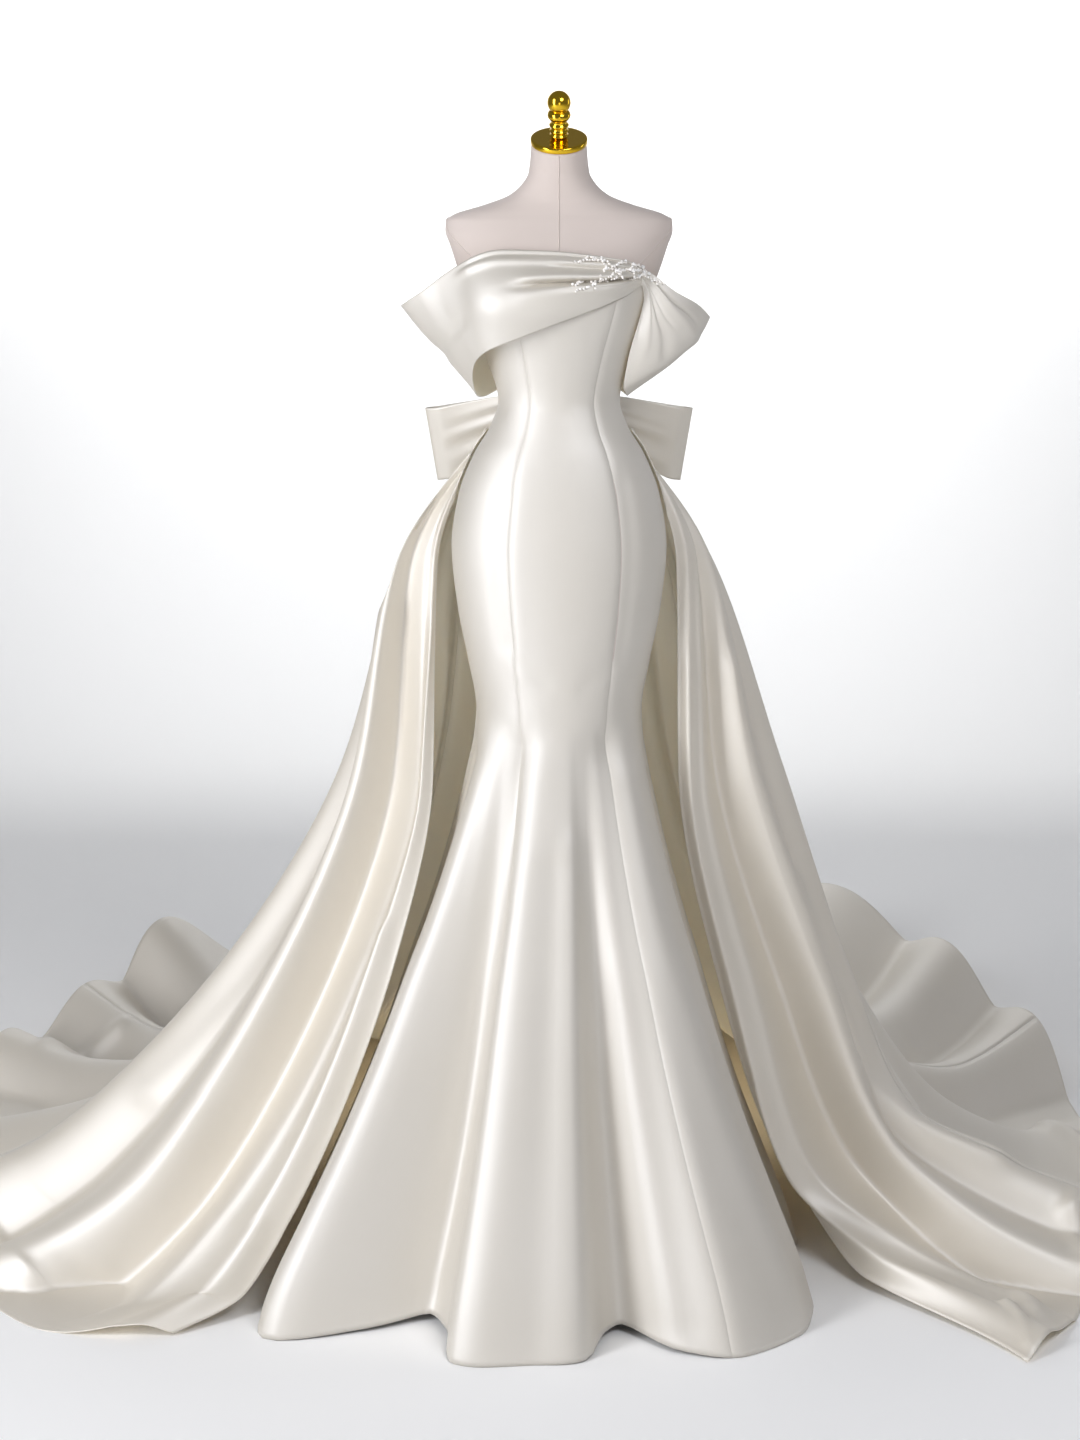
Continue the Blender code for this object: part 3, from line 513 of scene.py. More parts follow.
def crease_rise(creases, across, along, across_size, along_size):
    """How far soft ridges and troughs along given lines stand out from the plain cloth."""
    highest = 0.0
    lowest = 0.0
    for from_across, from_along, to_across, to_along, rise, width in creases:
        run_across = (to_across - from_across) * across_size
        run_along = (to_along - from_along) * along_size
        off_across = (across - from_across) * across_size
        off_along = (along - from_along) * along_size
        share = (off_across * run_across + off_along * run_along) / (run_across ** 2 + run_along ** 2)
        share = np.clip(share, 0.0, 1.0)
        gap = (off_across - run_across * share) ** 2 + (off_along - run_along * share) ** 2
        here = rise * np.exp(-gap / width ** 2)
        highest = np.maximum(highest, here)
        lowest = np.minimum(lowest, here)
    return highest + lowest


def gown_points(azimuths):
    """The gown from the neckline down to the hem at each azimuth."""
    rows = NECKLINE + tuple((360.0 - azimuth, height) for azimuth, height in NECKLINE[-2:0:-1])
    top = round_the_body(rows, NECKLINE_COLUMNS, "height", azimuths)
    lift = round_the_body(FLUTES, FLUTE_COLUMNS, "lift", azimuths)
    down = np.linspace(0.0, 1.0, GOWN_BANDS + 1)[:, None]
    heights = top * (1.0 - down)
    heights = heights + lift * np.clip(1.0 - heights / LIFT_HEIGHT, 0.0, 1.0) + CLOTH_THICKNESS / 2.0 * down
    azimuths = np.broadcast_to(azimuths, heights.shape)
    radius = gown_radius(azimuths, heights) * math.pi / 180.0
    out = sum(crease_rise(GOWN_CREASES, azimuths + turn, heights, radius, 1.0)
              for turn in (0.0, -360.0, 360.0))
    return body_point(azimuths, heights, out)


gown_shares = 0.5 - 0.5 * np.cos(np.linspace(0.0, math.pi, PANEL_STRIPS + 1))
gown_azimuths = np.concatenate([first + (last - first) * gown_shares[:-1]
                                for name, first, last in GOWN_PANELS] + [GOWN_PANELS[-1][2:]])
gown_grid = gown_points(gown_azimuths)
gown_wide = np.concatenate((gown_grid[:, -2:-1], gown_grid, gown_grid[:, 1:2]), axis=1)
gown_normals = unit(np.cross(np.gradient(gown_grid, axis=0), gown_wide[:, 2:] - gown_wide[:, :-2]))
panel_width = np.linalg.norm(np.diff(gown_grid, axis=1), axis=2)
seam_distance = np.zeros(gown_grid.shape[:2])
for place in range(len(GOWN_PANELS)):
    start = place * PANEL_STRIPS
    steps = panel_width[:, start:start + PANEL_STRIPS]
    from_left = np.concatenate((np.zeros((len(steps), 1)), np.cumsum(steps, axis=1)), axis=1)
    from_right = from_left[:, -1:] - from_left
    seam_distance[:, start:start + PANEL_STRIPS + 1] = np.minimum(from_left, from_right)
sink = (SEAM_DEPTH * np.exp(-(seam_distance / SEAM_WIDTH) ** 2)
        + STITCH_DEPTH * np.exp(-(seam_distance / STITCH_WIDTH) ** 2))
gown_grid = gown_grid + gown_normals * sink[..., None]
for place, panel in enumerate(GOWN_PANELS):
    start = place * PANEL_STRIPS
    add_cloth(panel[0], gown_grid[:, start:start + PANEL_STRIPS + 1])


# Dress form
# A small women's form without limbs: a hard shell under a stretched matt cover, with a seam down
# the centre front and a curved seam round each arm plate, on a steel post and plate.
FORM_BOTTOM = 1.060
SHOULDER_LOW = 1.700
SHOULDER_HIGH = 1.705
NECK_START = 1.845
NECK_TOP = 1.889
NECK_TILT = 24.0
NECK_BANDS = 13
FORM_CLEARANCE = 0.0018
FORM_BANDS = 60
FORM_COLUMNS = 144
COVER_WEAVE = 0.0007
COVER_BUMP = 0.00012
WAVE_BAND = 0.314
SEAM_RADIUS = 0.0011
SEAM_STEPS = 40
CENTRE_SEAM = (1.680, 1.872)
PLATE_SEAM_START = 90.0
PLATE_SEAM_SWEEP = 50.0
PLATE_SEAM_HEIGHT = 1.7745
PLATE_SEAM_DROP = 0.09
PLATE_SEAM_CURVE = 1.15
CAP_RADIUS = 0.045
CAP_HEIGHT = 0.009
CAP_SEAT = 0.0003
FINIAL_SEAT = 0.0006
TURNED_STEPS = 96
POWDER_BUMP = 0.00006


def close_rings(rings):
    """Faces round a stack of closed rings, with a fan at each end."""
    count = len(rings[0])
    vertices = [rings[0].mean(axis=0)] + [point for ring in rings for point in ring]
    vertices.append(rings[-1].mean(axis=0))
    last = len(vertices) - 1
    faces = []
    for step in range(count):
        after = (step + 1) % count
        faces.append((0, 1 + step, 1 + after))
        for ring in range(len(rings) - 1):
            low = 1 + ring * count
            high = low + count
            faces.append((low + step, high + step, high + after, low + after))
        top = 1 + (len(rings) - 1) * count
        faces.append((top + step, last, top + after))
    return vertices, faces


def form_ring(height):
    """The form's closed section at a height, a little inside the gown."""
    azimuths = np.linspace(0.0, 360.0, FORM_COLUMNS + 1)[:-1]
    return body_point(azimuths, np.full(FORM_COLUMNS, height), -FORM_CLEARANCE)


def object_metres(tree):
    """The (node, output) pair of a place in an object's own metres."""
    return add_node(tree, "ShaderNodeTexCoord"), "Object"


cover, cover_tree = new_material(
    "form_cover", {"Roughness": 0.72, "Sheen Weight": 0.25, "Sheen Roughness": 0.5})
cover_place = object_metres(cover_tree)
mix_tones(cover_tree, add_noise(cover_tree, cover_place, 9.0, 3.0), "#D4C8C1", "#CBBFB7")
cover_threads = add_node(cover_tree, "ShaderNodeMath", operation="MULTIPLY")
cover_weave = {"Scale": WAVE_BAND / COVER_WEAVE, "Distortion": 1.5, "Detail": 1.0}
for place, axis in enumerate("XZ"):
    threads = add_node(cover_tree, "ShaderNodeTexWave", {"Vector": cover_place}, cover_weave,
                       bands_direction=axis)
    cover_tree.links.new(threads.outputs["Fac"], cover_threads.inputs[place])
lay_bumps(cover_tree, ((cover_threads, 0), 0.35, COVER_BUMP))

form_rings = [form_ring(height) for height in np.concatenate((
    np.linspace(FORM_BOTTOM, SHOULDER_LOW, FORM_BANDS), np.linspace(SHOULDER_HIGH, NECK_START, FORM_BANDS)))]
neck_tilt = math.radians(NECK_TILT)
for share in np.linspace(0.0, 1.0, NECK_BANDS + 1)[1:]:
    height = NECK_START + (NECK_TOP - NECK_START) * share
    ring = form_ring(height)
    ring[:, 2] += (ring[:, 1] - body_size(height, "shift")) * math.tan(neck_tilt) * share
    form_rings.append(ring)
torso = add_mesh("form_torso_cover", *close_rings(form_rings), cover)
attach(torso, "root")
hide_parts("form_torso")


def plain_mesh(item):
    """An object's shape as a mesh, with its curve or modifiers worked out."""
    return bpy.data.meshes.new_from_object(item.evaluated_get(bpy.context.evaluated_depsgraph_get()))


def ball_profile(middle, radius, half_height, first, last, steps):
    """The (radius, height) pairs of a turned bead from one latitude to another."""
    turns = np.radians(np.linspace(first, last, steps))
    return [(radius * math.cos(turn), middle + half_height * math.sin(turn)) for turn in turns]


brass, brass_tree = new_material("lacquered_brass", {"Metallic": 1.0})
brass_run = add_node(brass_tree, "ShaderNodeMapping", {"Vector": object_metres(brass_tree)},
                     {"Scale": (60.0, 60.0, 1600.0)})
brass_marks = add_noise(brass_tree, (brass_run, "Vector"), 1.0, 2.0)
vary_gloss(brass_tree, brass_marks, 0.06, 0.16)
mix_tones(brass_tree, brass_marks, "#F2C93A", "#E6B92C")

neck_axis = np.array((0.0, -math.sin(neck_tilt), math.cos(neck_tilt)))
neck_ahead = np.array((0.0, -math.cos(neck_tilt), -math.sin(neck_tilt)))
neck_side = np.array((-1.0, 0.0, 0.0))
neck_turns = np.linspace(0.0, 2.0 * math.pi, TURNED_STEPS + 1)[:-1, None]
neck_spokes = np.cos(neck_turns) * neck_ahead + np.sin(neck_turns) * neck_side
cap_profile = ((CAP_RADIUS - 0.0016, 0.0), (CAP_RADIUS - 0.0004, 0.0005), (CAP_RADIUS, 0.0016),
               (CAP_RADIUS, CAP_HEIGHT - 0.0018), (CAP_RADIUS - 0.0005, CAP_HEIGHT - 0.0006),
               (CAP_RADIUS - 0.0018, CAP_HEIGHT), (CAP_RADIUS - 0.006, CAP_HEIGHT))
finial_profile = ([(0.0125, 0.0), (0.0125, 0.003), (0.0146, 0.004), (0.0146, 0.006), (0.0125, 0.007),
                   (0.0125, 0.010), (0.0148, 0.011), (0.0148, 0.0135), (0.0125, 0.0145), (0.0125, 0.0190),
                   (0.0152, 0.0200), (0.0158, 0.0215), (0.0152, 0.0230), (0.0135, 0.0245)]
                  + ball_profile(0.0375, 0.0184, 0.0120, -50.0, 48.0, 18)
                  + ball_profile(0.0578, 0.0185, 0.0185, -40.0, 86.0, 26))
for name, profile, lift in (("form_neck_cap", cap_profile, CAP_SEAT),
                            ("form_finial", finial_profile, CAP_HEIGHT + FINIAL_SEAT)):
    centre = form_rings[-1].mean(axis=0) + neck_axis * lift
    rings = [centre + neck_axis * height + radius * neck_spokes for radius, height in profile]
    piece = add_mesh(name + "_brass", *close_rings(rings), brass)
    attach(piece, "root")
    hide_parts(name)

powder, powder_tree = new_material("powder_coated_steel", {"Roughness": 0.45})
powder_grain = add_noise(powder_tree, object_metres(powder_tree), 900.0, 2.0)
mix_tones(powder_tree, powder_grain, "#D9D7D1", "#CFCDC6")
lay_bumps(powder_tree, ((powder_grain, "Fac"), 0.4, POWDER_BUMP))
for name in ("form_pole", "form_base"):
    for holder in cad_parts[name].material_slots:
        holder.material = powder

seam_shares = np.linspace(0.0, 1.0, SEAM_STEPS)
seam_heights = PLATE_SEAM_HEIGHT - PLATE_SEAM_DROP * seam_shares ** PLATE_SEAM_CURVE
seam_paths = [body_point(hand * (PLATE_SEAM_START - PLATE_SEAM_SWEEP * seam_shares), seam_heights,
                         -FORM_CLEARANCE) for hand in (-1.0, 1.0)]
seam_paths.insert(0, [ring[0] for ring in form_rings if CENTRE_SEAM[0] < ring[0][2] < CENTRE_SEAM[1]])
seam_curve = bpy.data.curves.new("form_seams", "CURVE")
seam_curve.dimensions = "3D"
seam_curve.bevel_depth = SEAM_RADIUS
seam_curve.bevel_resolution = 1
seam_curve.use_fill_caps = True
for path in seam_paths:
    spline = seam_curve.splines.new("POLY")
    spline.points.add(len(path) - 1)
    for point, place in zip(spline.points, path):
        point.co = (*map(float, place), 1.0)
seam_guide = add_object("form_seam_guide", seam_curve)
seam_mesh = plain_mesh(seam_guide)
bpy.data.objects.remove(seam_guide)
seam_mesh.materials.clear()
seam_mesh.materials.append(cover)
form_seams = add_object("form_seams", seam_mesh)
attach(form_seams, "root")


# Off-shoulder drape
# Two lengths of the same satin, cut on the bias, meet in a gather at the upper right; the left one
# crosses the bust, and both run on as open loops, where arms would be, to the centre back.
DRAPE_SEAT = 0.0026
DRAPE_COLUMNS = ("top_azimuth", "top_height", "top_out", "low_azimuth", "low_height", "low_out", "belly")
DRAPE = (
    (180.0, 1.672, DRAPE_SEAT, 180.0, 1.530, 0.0030, 0.000),
    (166.0, 1.680, 0.006, 164.0, 1.525, 0.006, 0.002),
    (150.0, 1.682, 0.016, 148.0, 1.515, 0.010, 0.008),
    (130.0, 1.668, 0.048, 128.0, 1.500, 0.020, 0.012),
    (110.0, 1.645, 0.090, 107.0, 1.488, 0.030, 0.008),
    (92.0, 1.636, 0.108, 90.0, 1.492, 0.034, 0.000),
    (80.0, 1.655, 0.078, 72.0, 1.520, 0.040, 0.004),
    (70.0, 1.680, 0.044, 56.0, 1.552, 0.042, 0.002),
    (52.0, 1.708, 0.014, 44.0, 1.569, 0.036, 0.003),
    (28.0, 1.727, 0.008, 24.0, 1.591, 0.024, 0.010),
    (4.0, 1.725, 0.007, 2.0, 1.615, 0.016, 0.016),
    (-18.0, 1.718, 0.006, -18.0, 1.635, 0.011, 0.012),
    (-38.0, 1.709, 0.005, -38.0, 1.656, 0.006, 0.006),
    (-51.0, 1.699, DRAPE_SEAT, -53.0, 1.671, DRAPE_SEAT, 0.000),
    (-58.0, 1.685, 0.018, -58.0, 1.640, 0.006, 0.004),
    (-67.0, 1.662, 0.044, -58.0, 1.597, 0.007, 0.012),
    (-78.0, 1.640, 0.078, -61.0, 1.555, 0.008, 0.018),
    (-90.0, 1.618, 0.101, -70.0, 1.505, 0.010, 0.022),
    (-106.0, 1.628, 0.086, -95.0, 1.492, 0.012, 0.026),
    (-127.0, 1.655, 0.046, -120.0, 1.500, 0.010, 0.016),
    (-150.0, 1.676, 0.014, -146.0, 1.515, 0.007, 0.006),
    (-180.0, 1.672, DRAPE_SEAT, -180.0, 1.530, 0.0030, 0.000),
)
DRAPE_GATHER_ROW = 13
DRAPE_SWELL = 0.008
DRAPE_SWELL_ROW = 8.4
DRAPE_SWELL_ROWS = 0.9
DRAPE_STRIPS = 14
DRAPE_BANDS = 70
FOLD_TAPER_ROWS = 0.4
GATHER_CALM_ROWS = 1.2
# Each fold: from row and share down, to row and share down, rise, spread.
DRAPE_FOLDS = (
    (9.75, 0.42, 13.0, 0.56, -0.018, 0.042),
    (9.70, 0.32, 13.0, 0.42, 0.007, 0.070),
    (9.60, 0.54, 13.0, 0.70, 0.004, 0.110),
    (10.6, 0.50, 13.0, 0.64, 0.005, 0.030),
    (8.20, 0.10, 13.0, 0.16, 0.005, 0.050),
    (8.40, 0.055, 12.6, 0.06, -0.005, 0.022),
    (10.4, 0.22, 13.0, 0.28, -0.005, 0.035),
    (13.0, 0.50, 16.4, 0.62, -0.005, 0.060),
    (13.0, 0.72, 15.8, 0.84, 0.004, 0.060),
    (13.0, 0.30, 17.2, 0.34, 0.004, 0.080),
    (13.0, 0.42, 15.4, 0.48, -0.003, 0.030),
    (13.0, 0.20, 15.9, 0.20, -0.003, 0.035),
    (13.0, 0.85, 15.0, 0.92, -0.003, 0.040),
    (4.60, 0.50, 7.20, 0.60, -0.004, 0.080),
)


def drape_rise(row, down):
    """How far the drape's folds stand out at a place between its sections."""
    rise = 0.0
    for from_row, from_down, to_row, to_down, height, spread in DRAPE_FOLDS:
        share = np.clip((row - from_row) / (to_row - from_row), 0.0, 1.0)
        line = from_down + (to_down - from_down) * share
        side = np.exp(-((down - line) / spread) ** 2)
        beyond = np.maximum(np.maximum(from_row - row, row - to_row), 0.0)
        taper = np.exp(-(beyond / FOLD_TAPER_ROWS) ** 2)
        calm = np.clip(abs(row - DRAPE_GATHER_ROW) / GATHER_CALM_ROWS, 0.0, 1.0)
        rise = rise + height * side * taper * calm
    return rise


drape_rows, drape_size = smooth_sections(DRAPE, DRAPE_COLUMNS, DRAPE_STRIPS)
drape_lines = []
for down in np.linspace(0.0, 1.0, DRAPE_BANDS + 1):
    azimuth, height, out = (drape_size["top_" + name] * (1.0 - down) + drape_size["low_" + name] * down
                            for name in ("azimuth", "height", "out"))
    out = out + drape_size["belly"] * math.sin(math.pi * down) + drape_rise(drape_rows, down)
    out = out + DRAPE_SWELL * np.exp(-((drape_rows - DRAPE_SWELL_ROW) / DRAPE_SWELL_ROWS) ** 2)
    drape_lines.append(body_point(azimuth, height, np.maximum(out, DRAPE_SEAT)))
drape_grid = np.array(drape_lines)
gather_place = DRAPE_GATHER_ROW * DRAPE_STRIPS
add_cloth("drape_front_and_left_sleeve", drape_grid[:, gather_place::-1],
          back=satin_painted_bounce)
add_cloth("drape_right_sleeve", drape_grid[:, :gather_place - 1:-1],
          back=satin_painted_bounce)


# Bead spray
# Threads of tiny glass pearls with a few cut crystals, sewn by hand over the gather where the two
# lengths of the drape meet.
PEARL_RADIUS = 0.0021
PEARL_SPACING = 0.0047
PEARL_SCATTER = 0.0016
CRYSTAL_RADIUS = 0.0034
THREAD_STEPS = 5
# Each sprig is a thread's corners, as a row of the drape and a share down it.
SPRIGS = (
    ((10.79, 0.04), (11.00, 0.09), (11.29, 0.11), (11.50, 0.21), (11.57, 0.33)),
    ((10.50, 0.14), (11.14, 0.10), (11.36, 0.21), (11.50, 0.30)),
    ((10.43, 0.51), (10.64, 0.49), (10.93, 0.46), (11.14, 0.43), (11.36, 0.36), (11.57, 0.33)),
    ((10.50, 0.59), (10.90, 0.54), (11.30, 0.46), (11.60, 0.36)),
    ((11.21, 0.30), (11.36, 0.21), (11.93, 0.04)),
    ((11.57, 0.33), (11.90, 0.28), (12.14, 0.34), (12.60, 0.30), (13.00, 0.26)),
    ((11.57, 0.30), (12.14, 0.13), (12.79, 0.10), (13.00, 0.20)),
    ((11.86, 0.53), (12.30, 0.45), (12.79, 0.40), (13.00, 0.30)),
    ((13.00, 0.26), (13.57, 0.12), (14.00, 0.13), (14.40, 0.04)),
    ((13.00, 0.38), (13.60, 0.28), (14.00, 0.26)),
    ((11.14, 0.10), (11.20, 0.02)), ((11.36, 0.21), (11.60, 0.12)), ((10.93, 0.46), (11.00, 0.56)),
    ((11.14, 0.43), (11.10, 0.36)), ((11.90, 0.28), (12.00, 0.18)), ((12.14, 0.34), (12.20, 0.46)),
    ((12.60, 0.30), (12.70, 0.20)), ((10.64, 0.49), (10.60, 0.43)), ((11.57, 0.33), (11.70, 0.42)),
    ((11.60, 0.21), (12.10, 0.22), (12.60, 0.18)),
)
CRYSTALS = ((11.57, 0.33), (12.14, 0.34), (12.14, 0.13), (12.79, 0.12), (13.00, 0.26), (11.82, 0.22),
            (12.50, 0.27), (13.57, 0.10), (11.30, 0.24), (12.40, 0.42), (12.90, 0.38), (13.90, 0.18),
            (11.00, 0.46), (11.93, 0.06))


def drape_place(row, down, out):
    """A place on the drape between its grid points, moved out from the body."""
    strip, u = divmod(row * DRAPE_STRIPS, 1.0)
    band, v = divmod(down * DRAPE_BANDS, 1.0)
    corner = drape_grid[int(band):int(band) + 2, int(strip):int(strip) + 2]
    near = corner[0, 0] * (1 - u) + corner[0, 1] * u
    far = corner[1, 0] * (1 - u) + corner[1, 1] * u
    out_way = unit(np.cross(corner[1, 0] - corner[0, 0], corner[0, 1] - corner[0, 0]))
    if out_way[1] > 0.0:
        out_way = -out_way
    return near * (1 - v) + far * v + out_way * (out + CLOTH_THICKNESS / 2.0)


def bead_tree(name, on_lines):
    """Geometry Nodes that set beads along an object's lines, or on its loose points."""
    tree = bpy.data.node_groups.new(name, "GeometryNodeTree")
    for label, kind in (("Threads", "Geometry"), ("Bead radius", "Float"), ("Bead spacing", "Float"),
                        ("Scatter", "Float"), ("Scatter back", "Float"), ("Facet level", "Int"),
                        ("Rounded", "Bool"), ("Seed", "Int"), ("Material", "Material")):
        tree.interface.new_socket(label, in_out="INPUT", socket_type="NodeSocket" + kind)
    tree.interface.new_socket("Beads", in_out="OUTPUT", socket_type="NodeSocketGeometry")
    given = add_node(tree, "NodeGroupInput")
    places = (given, "Threads")
    if on_lines:
        thread = add_node(tree, "GeometryNodeMeshToCurve", {"Mesh": places})
        evenly = add_node(tree, "GeometryNodeResampleCurve",
                          {"Curve": (thread, "Curve"), "Length": (given, "Bead spacing")}, mode="LENGTH")
        places = (evenly, "Curve")
    back, shift = (add_node(tree, "ShaderNodeCombineXYZ", {axis: (given, label) for axis in "XYZ"})
                   for label in ("Scatter back", "Scatter"))
    loose = add_node(tree, "FunctionNodeRandomValue", {0: (back, 0), 1: (shift, 0), "Seed": (given, "Seed")},
                     data_type="FLOAT_VECTOR")
    moved = add_node(tree, "GeometryNodeSetPosition", {"Geometry": places, "Offset": (loose, 0)})
    bead = add_node(tree, "GeometryNodeMeshIcoSphere",
                    {"Radius": (given, "Bead radius"), "Subdivisions": (given, "Facet level")})
    rounded = add_node(tree, "GeometryNodeSetShadeSmooth",
                       {"Geometry": (bead, "Mesh"), "Shade Smooth": (given, "Rounded")})
    sizes = add_node(tree, "FunctionNodeRandomValue", {"Seed": (given, "Seed")}, {2: 0.75, 3: 1.2})
    beads = add_node(tree, "GeometryNodeInstanceOnPoints",
                     {"Points": (moved, "Geometry"), "Instance": (rounded, "Geometry"), "Scale": (sizes, 1)})
    real = add_node(tree, "GeometryNodeRealizeInstances", {"Geometry": (beads, "Instances")})
    made = add_node(tree, "GeometryNodeSetMaterial",
                    {"Geometry": (real, "Geometry"), "Material": (given, "Material")})
    add_node(tree, "NodeGroupOutput", {"Beads": (made, "Geometry")})
    return tree


def bead_material(name, first, second, roughness, coat):
    """Glass beads whose tone drifts a little from one to the next."""
    material, tree = new_material(
        name, {"Roughness": roughness, "Coat Weight": coat, "Coat Roughness": 0.05, "IOR": 1.6})
    mix_tones(tree, add_noise(tree, object_metres(tree), 160.0, 1.0), first, second)
    return material


def add_beads(name, points, edges, radius, scatter, facets, rounded, seed, material):
    """Set beads along threads, or on points that have none, and keep them as a plain mesh."""
    inputs = {"Bead radius": radius, "Bead spacing": PEARL_SPACING, "Scatter": scatter,
              "Scatter back": -scatter, "Facet level": facets, "Rounded": rounded, "Seed": seed,
              "Material": material}
    mesh = bpy.data.meshes.new(name)
    mesh.from_pydata([tuple(map(float, point)) for point in points], edges, [])
    item = add_object(name, mesh)
    modifier = item.modifiers.new("beads", "NODES")
    modifier.node_group = bead_tree(name + "_nodes", bool(edges))
    for socket in modifier.node_group.interface.items_tree:
        if socket.in_out == "INPUT" and socket.name in inputs:
            modifier[socket.identifier] = inputs[socket.name]
    made = plain_mesh(item)
    item.modifiers.clear()
    item.data = made
    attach(item, "root")


pearl = bead_material("glass_pearl", "#FFFFFF", "#FBF4EA", 0.30, 0.6)
crystal = bead_material("cut_crystal", "#FFFFFF", "#F6F3EE", 0.08, 1.0)
thread_points = []
thread_edges = []
for sprig in SPRIGS:
    first = len(thread_points)
    for (row, down), (next_row, next_down) in zip(sprig[:-1], sprig[1:]):
        for share in np.linspace(0.0, 1.0, THREAD_STEPS + 1)[:-1]:
            place = (row + (next_row - row) * share, down + (next_down - down) * share)
            thread_points.append(drape_place(*place, PEARL_RADIUS))
    thread_points.append(drape_place(*sprig[-1], PEARL_RADIUS))
    thread_edges += [(place, place + 1) for place in range(first, len(thread_points) - 1)]
add_beads("bead_spray_pearls", thread_points, thread_edges, PEARL_RADIUS, PEARL_SCATTER,
          facets=2, rounded=True, seed=3, material=pearl)
add_beads("bead_spray_crystals", [drape_place(row, down, CRYSTAL_RADIUS) for row, down in CRYSTALS], [],
          CRYSTAL_RADIUS, 0.0, facets=1, rounded=False, seed=5, material=crystal)


# Bow
# A flat bow of doubled satin at the back of the waist, its two open loops held by a knot band
# that is sewn over the overskirt's closing.
BOW_COLUMNS = ("out", "back", "height", "half_height")
BOW = (
    (0.004, 0.008, 1.452, 0.0180),
    (0.026, 0.008, 1.452, 0.0185),
    (0.045, 0.016, 1.450, 0.028),
    (0.085, 0.036, 1.440, 0.041),
    (0.150, 0.062, 1.414, 0.055),
    (0.200, 0.078, 1.396, 0.062),
    (0.216, 0.092, 1.394, 0.063),
    (0.202, 0.106, 1.396, 0.062),
    (0.150, 0.104, 1.412, 0.054),
    (0.085, 0.078, 1.438, 0.039),
    (0.045, 0.048, 1.450, 0.027),
    (0.026, 0.038, 1.452, 0.0185),
    (0.004, 0.038, 1.452, 0.0180),
)
BOW_LEAN_OUT = 0.14
BOW_LEAN_BACK = 0.30
BOW_LEAN_FROM = 0.03
BOW_LEAN_RUN = 0.06
BOW_REACH = 0.20
BOW_CREASE_FADE = 0.7
BOW_SEAT = 0.0022
BOW_STRIPS = 10
BOW_BANDS = 34
# Each crease: share of the half height near the knot, the same at the far end, depth, spread.
BOW_CREASES = {
    "bow_loop_left": ((0.12, 0.16, 0.005, 0.20), (0.75, 0.60, 0.003, 0.20), (-0.55, -0.50, 0.004, 0.24)),
    "bow_loop_right": ((0.10, 0.14, 0.005, 0.18), (0.60, 0.44, 0.004, 0.18), (-0.40, -0.62, 0.005, 0.22)),
}
KNOT_HALF_WIDTH = 0.017
KNOT_HALF_HEIGHT = 0.0228
KNOT_ROOM = 0.0005
KNOT_SWELL = 0.0012
KNOT_ROUNDNESS = 0.22
KNOT_COLUMNS = 12
KNOT_STEPS = 72

bow_size = smooth_sections(BOW, BOW_COLUMNS, BOW_STRIPS)[1]
bow_lean = np.clip((bow_size["out"] - BOW_LEAN_FROM) / BOW_LEAN_RUN, 0.0, 1.0)
bow_reach = np.clip(bow_size["out"] / BOW_REACH, 0.0, 1.0)
bow_half_depth = (BOW[-1][1] - BOW[0][1] + 2.0 * CLOTH_THICKNESS) / 2.0 + KNOT_ROOM
bow_middle = float(body_size(BOW[0][2] - KNOT_HALF_HEIGHT, "back")) + BOW_SEAT + KNOT_SWELL + bow_half_depth
bow_start = bow_middle - (BOW[0][1] + BOW[-1][1]) / 2.0
for name, hand in (("bow_loop_left", -1.0), ("bow_loop_right", 1.0)):
    lines = []
    for share in np.linspace(1.0, -1.0, BOW_BANDS + 1):
        rise = share * bow_size["half_height"]
        fold = 0.0
        for near, far, depth, spread in BOW_CREASES[name]:
            line = near + (far - near) * bow_reach
            fade = np.sin(math.pi * bow_reach) ** BOW_CREASE_FADE
            fold = fold + depth * np.exp(-((share - line) / spread) ** 2) * fade
        out = bow_size["out"] + rise * BOW_LEAN_OUT * bow_lean
        back = bow_start + bow_size["back"] - rise * BOW_LEAN_BACK * bow_lean - fold
        lines.append(np.stack((hand * out, back, bow_size["height"] + rise), axis=-1))
    add_cloth(name, np.array(lines), satin_painted_glow)
knot_lines = []
for place in np.linspace(-KNOT_HALF_WIDTH, KNOT_HALF_WIDTH, KNOT_COLUMNS + 1):
    swell = KNOT_SWELL * math.cos(math.pi * place / KNOT_HALF_WIDTH / 2.0)
    ring = []
    for turn in np.linspace(0.0, 2.0 * math.pi, KNOT_STEPS + 1):
        cosine, sine = (abs(side) ** KNOT_ROUNDNESS * np.sign(side)
                        for side in (math.cos(turn), math.sin(turn)))
        ring.append((place, bow_middle + (bow_half_depth + swell) * cosine,
                     BOW[0][2] + (KNOT_HALF_HEIGHT + swell) * sine))
    knot_lines.append(ring)
add_cloth("bow_knot", np.array(knot_lines), satin_painted_glow)
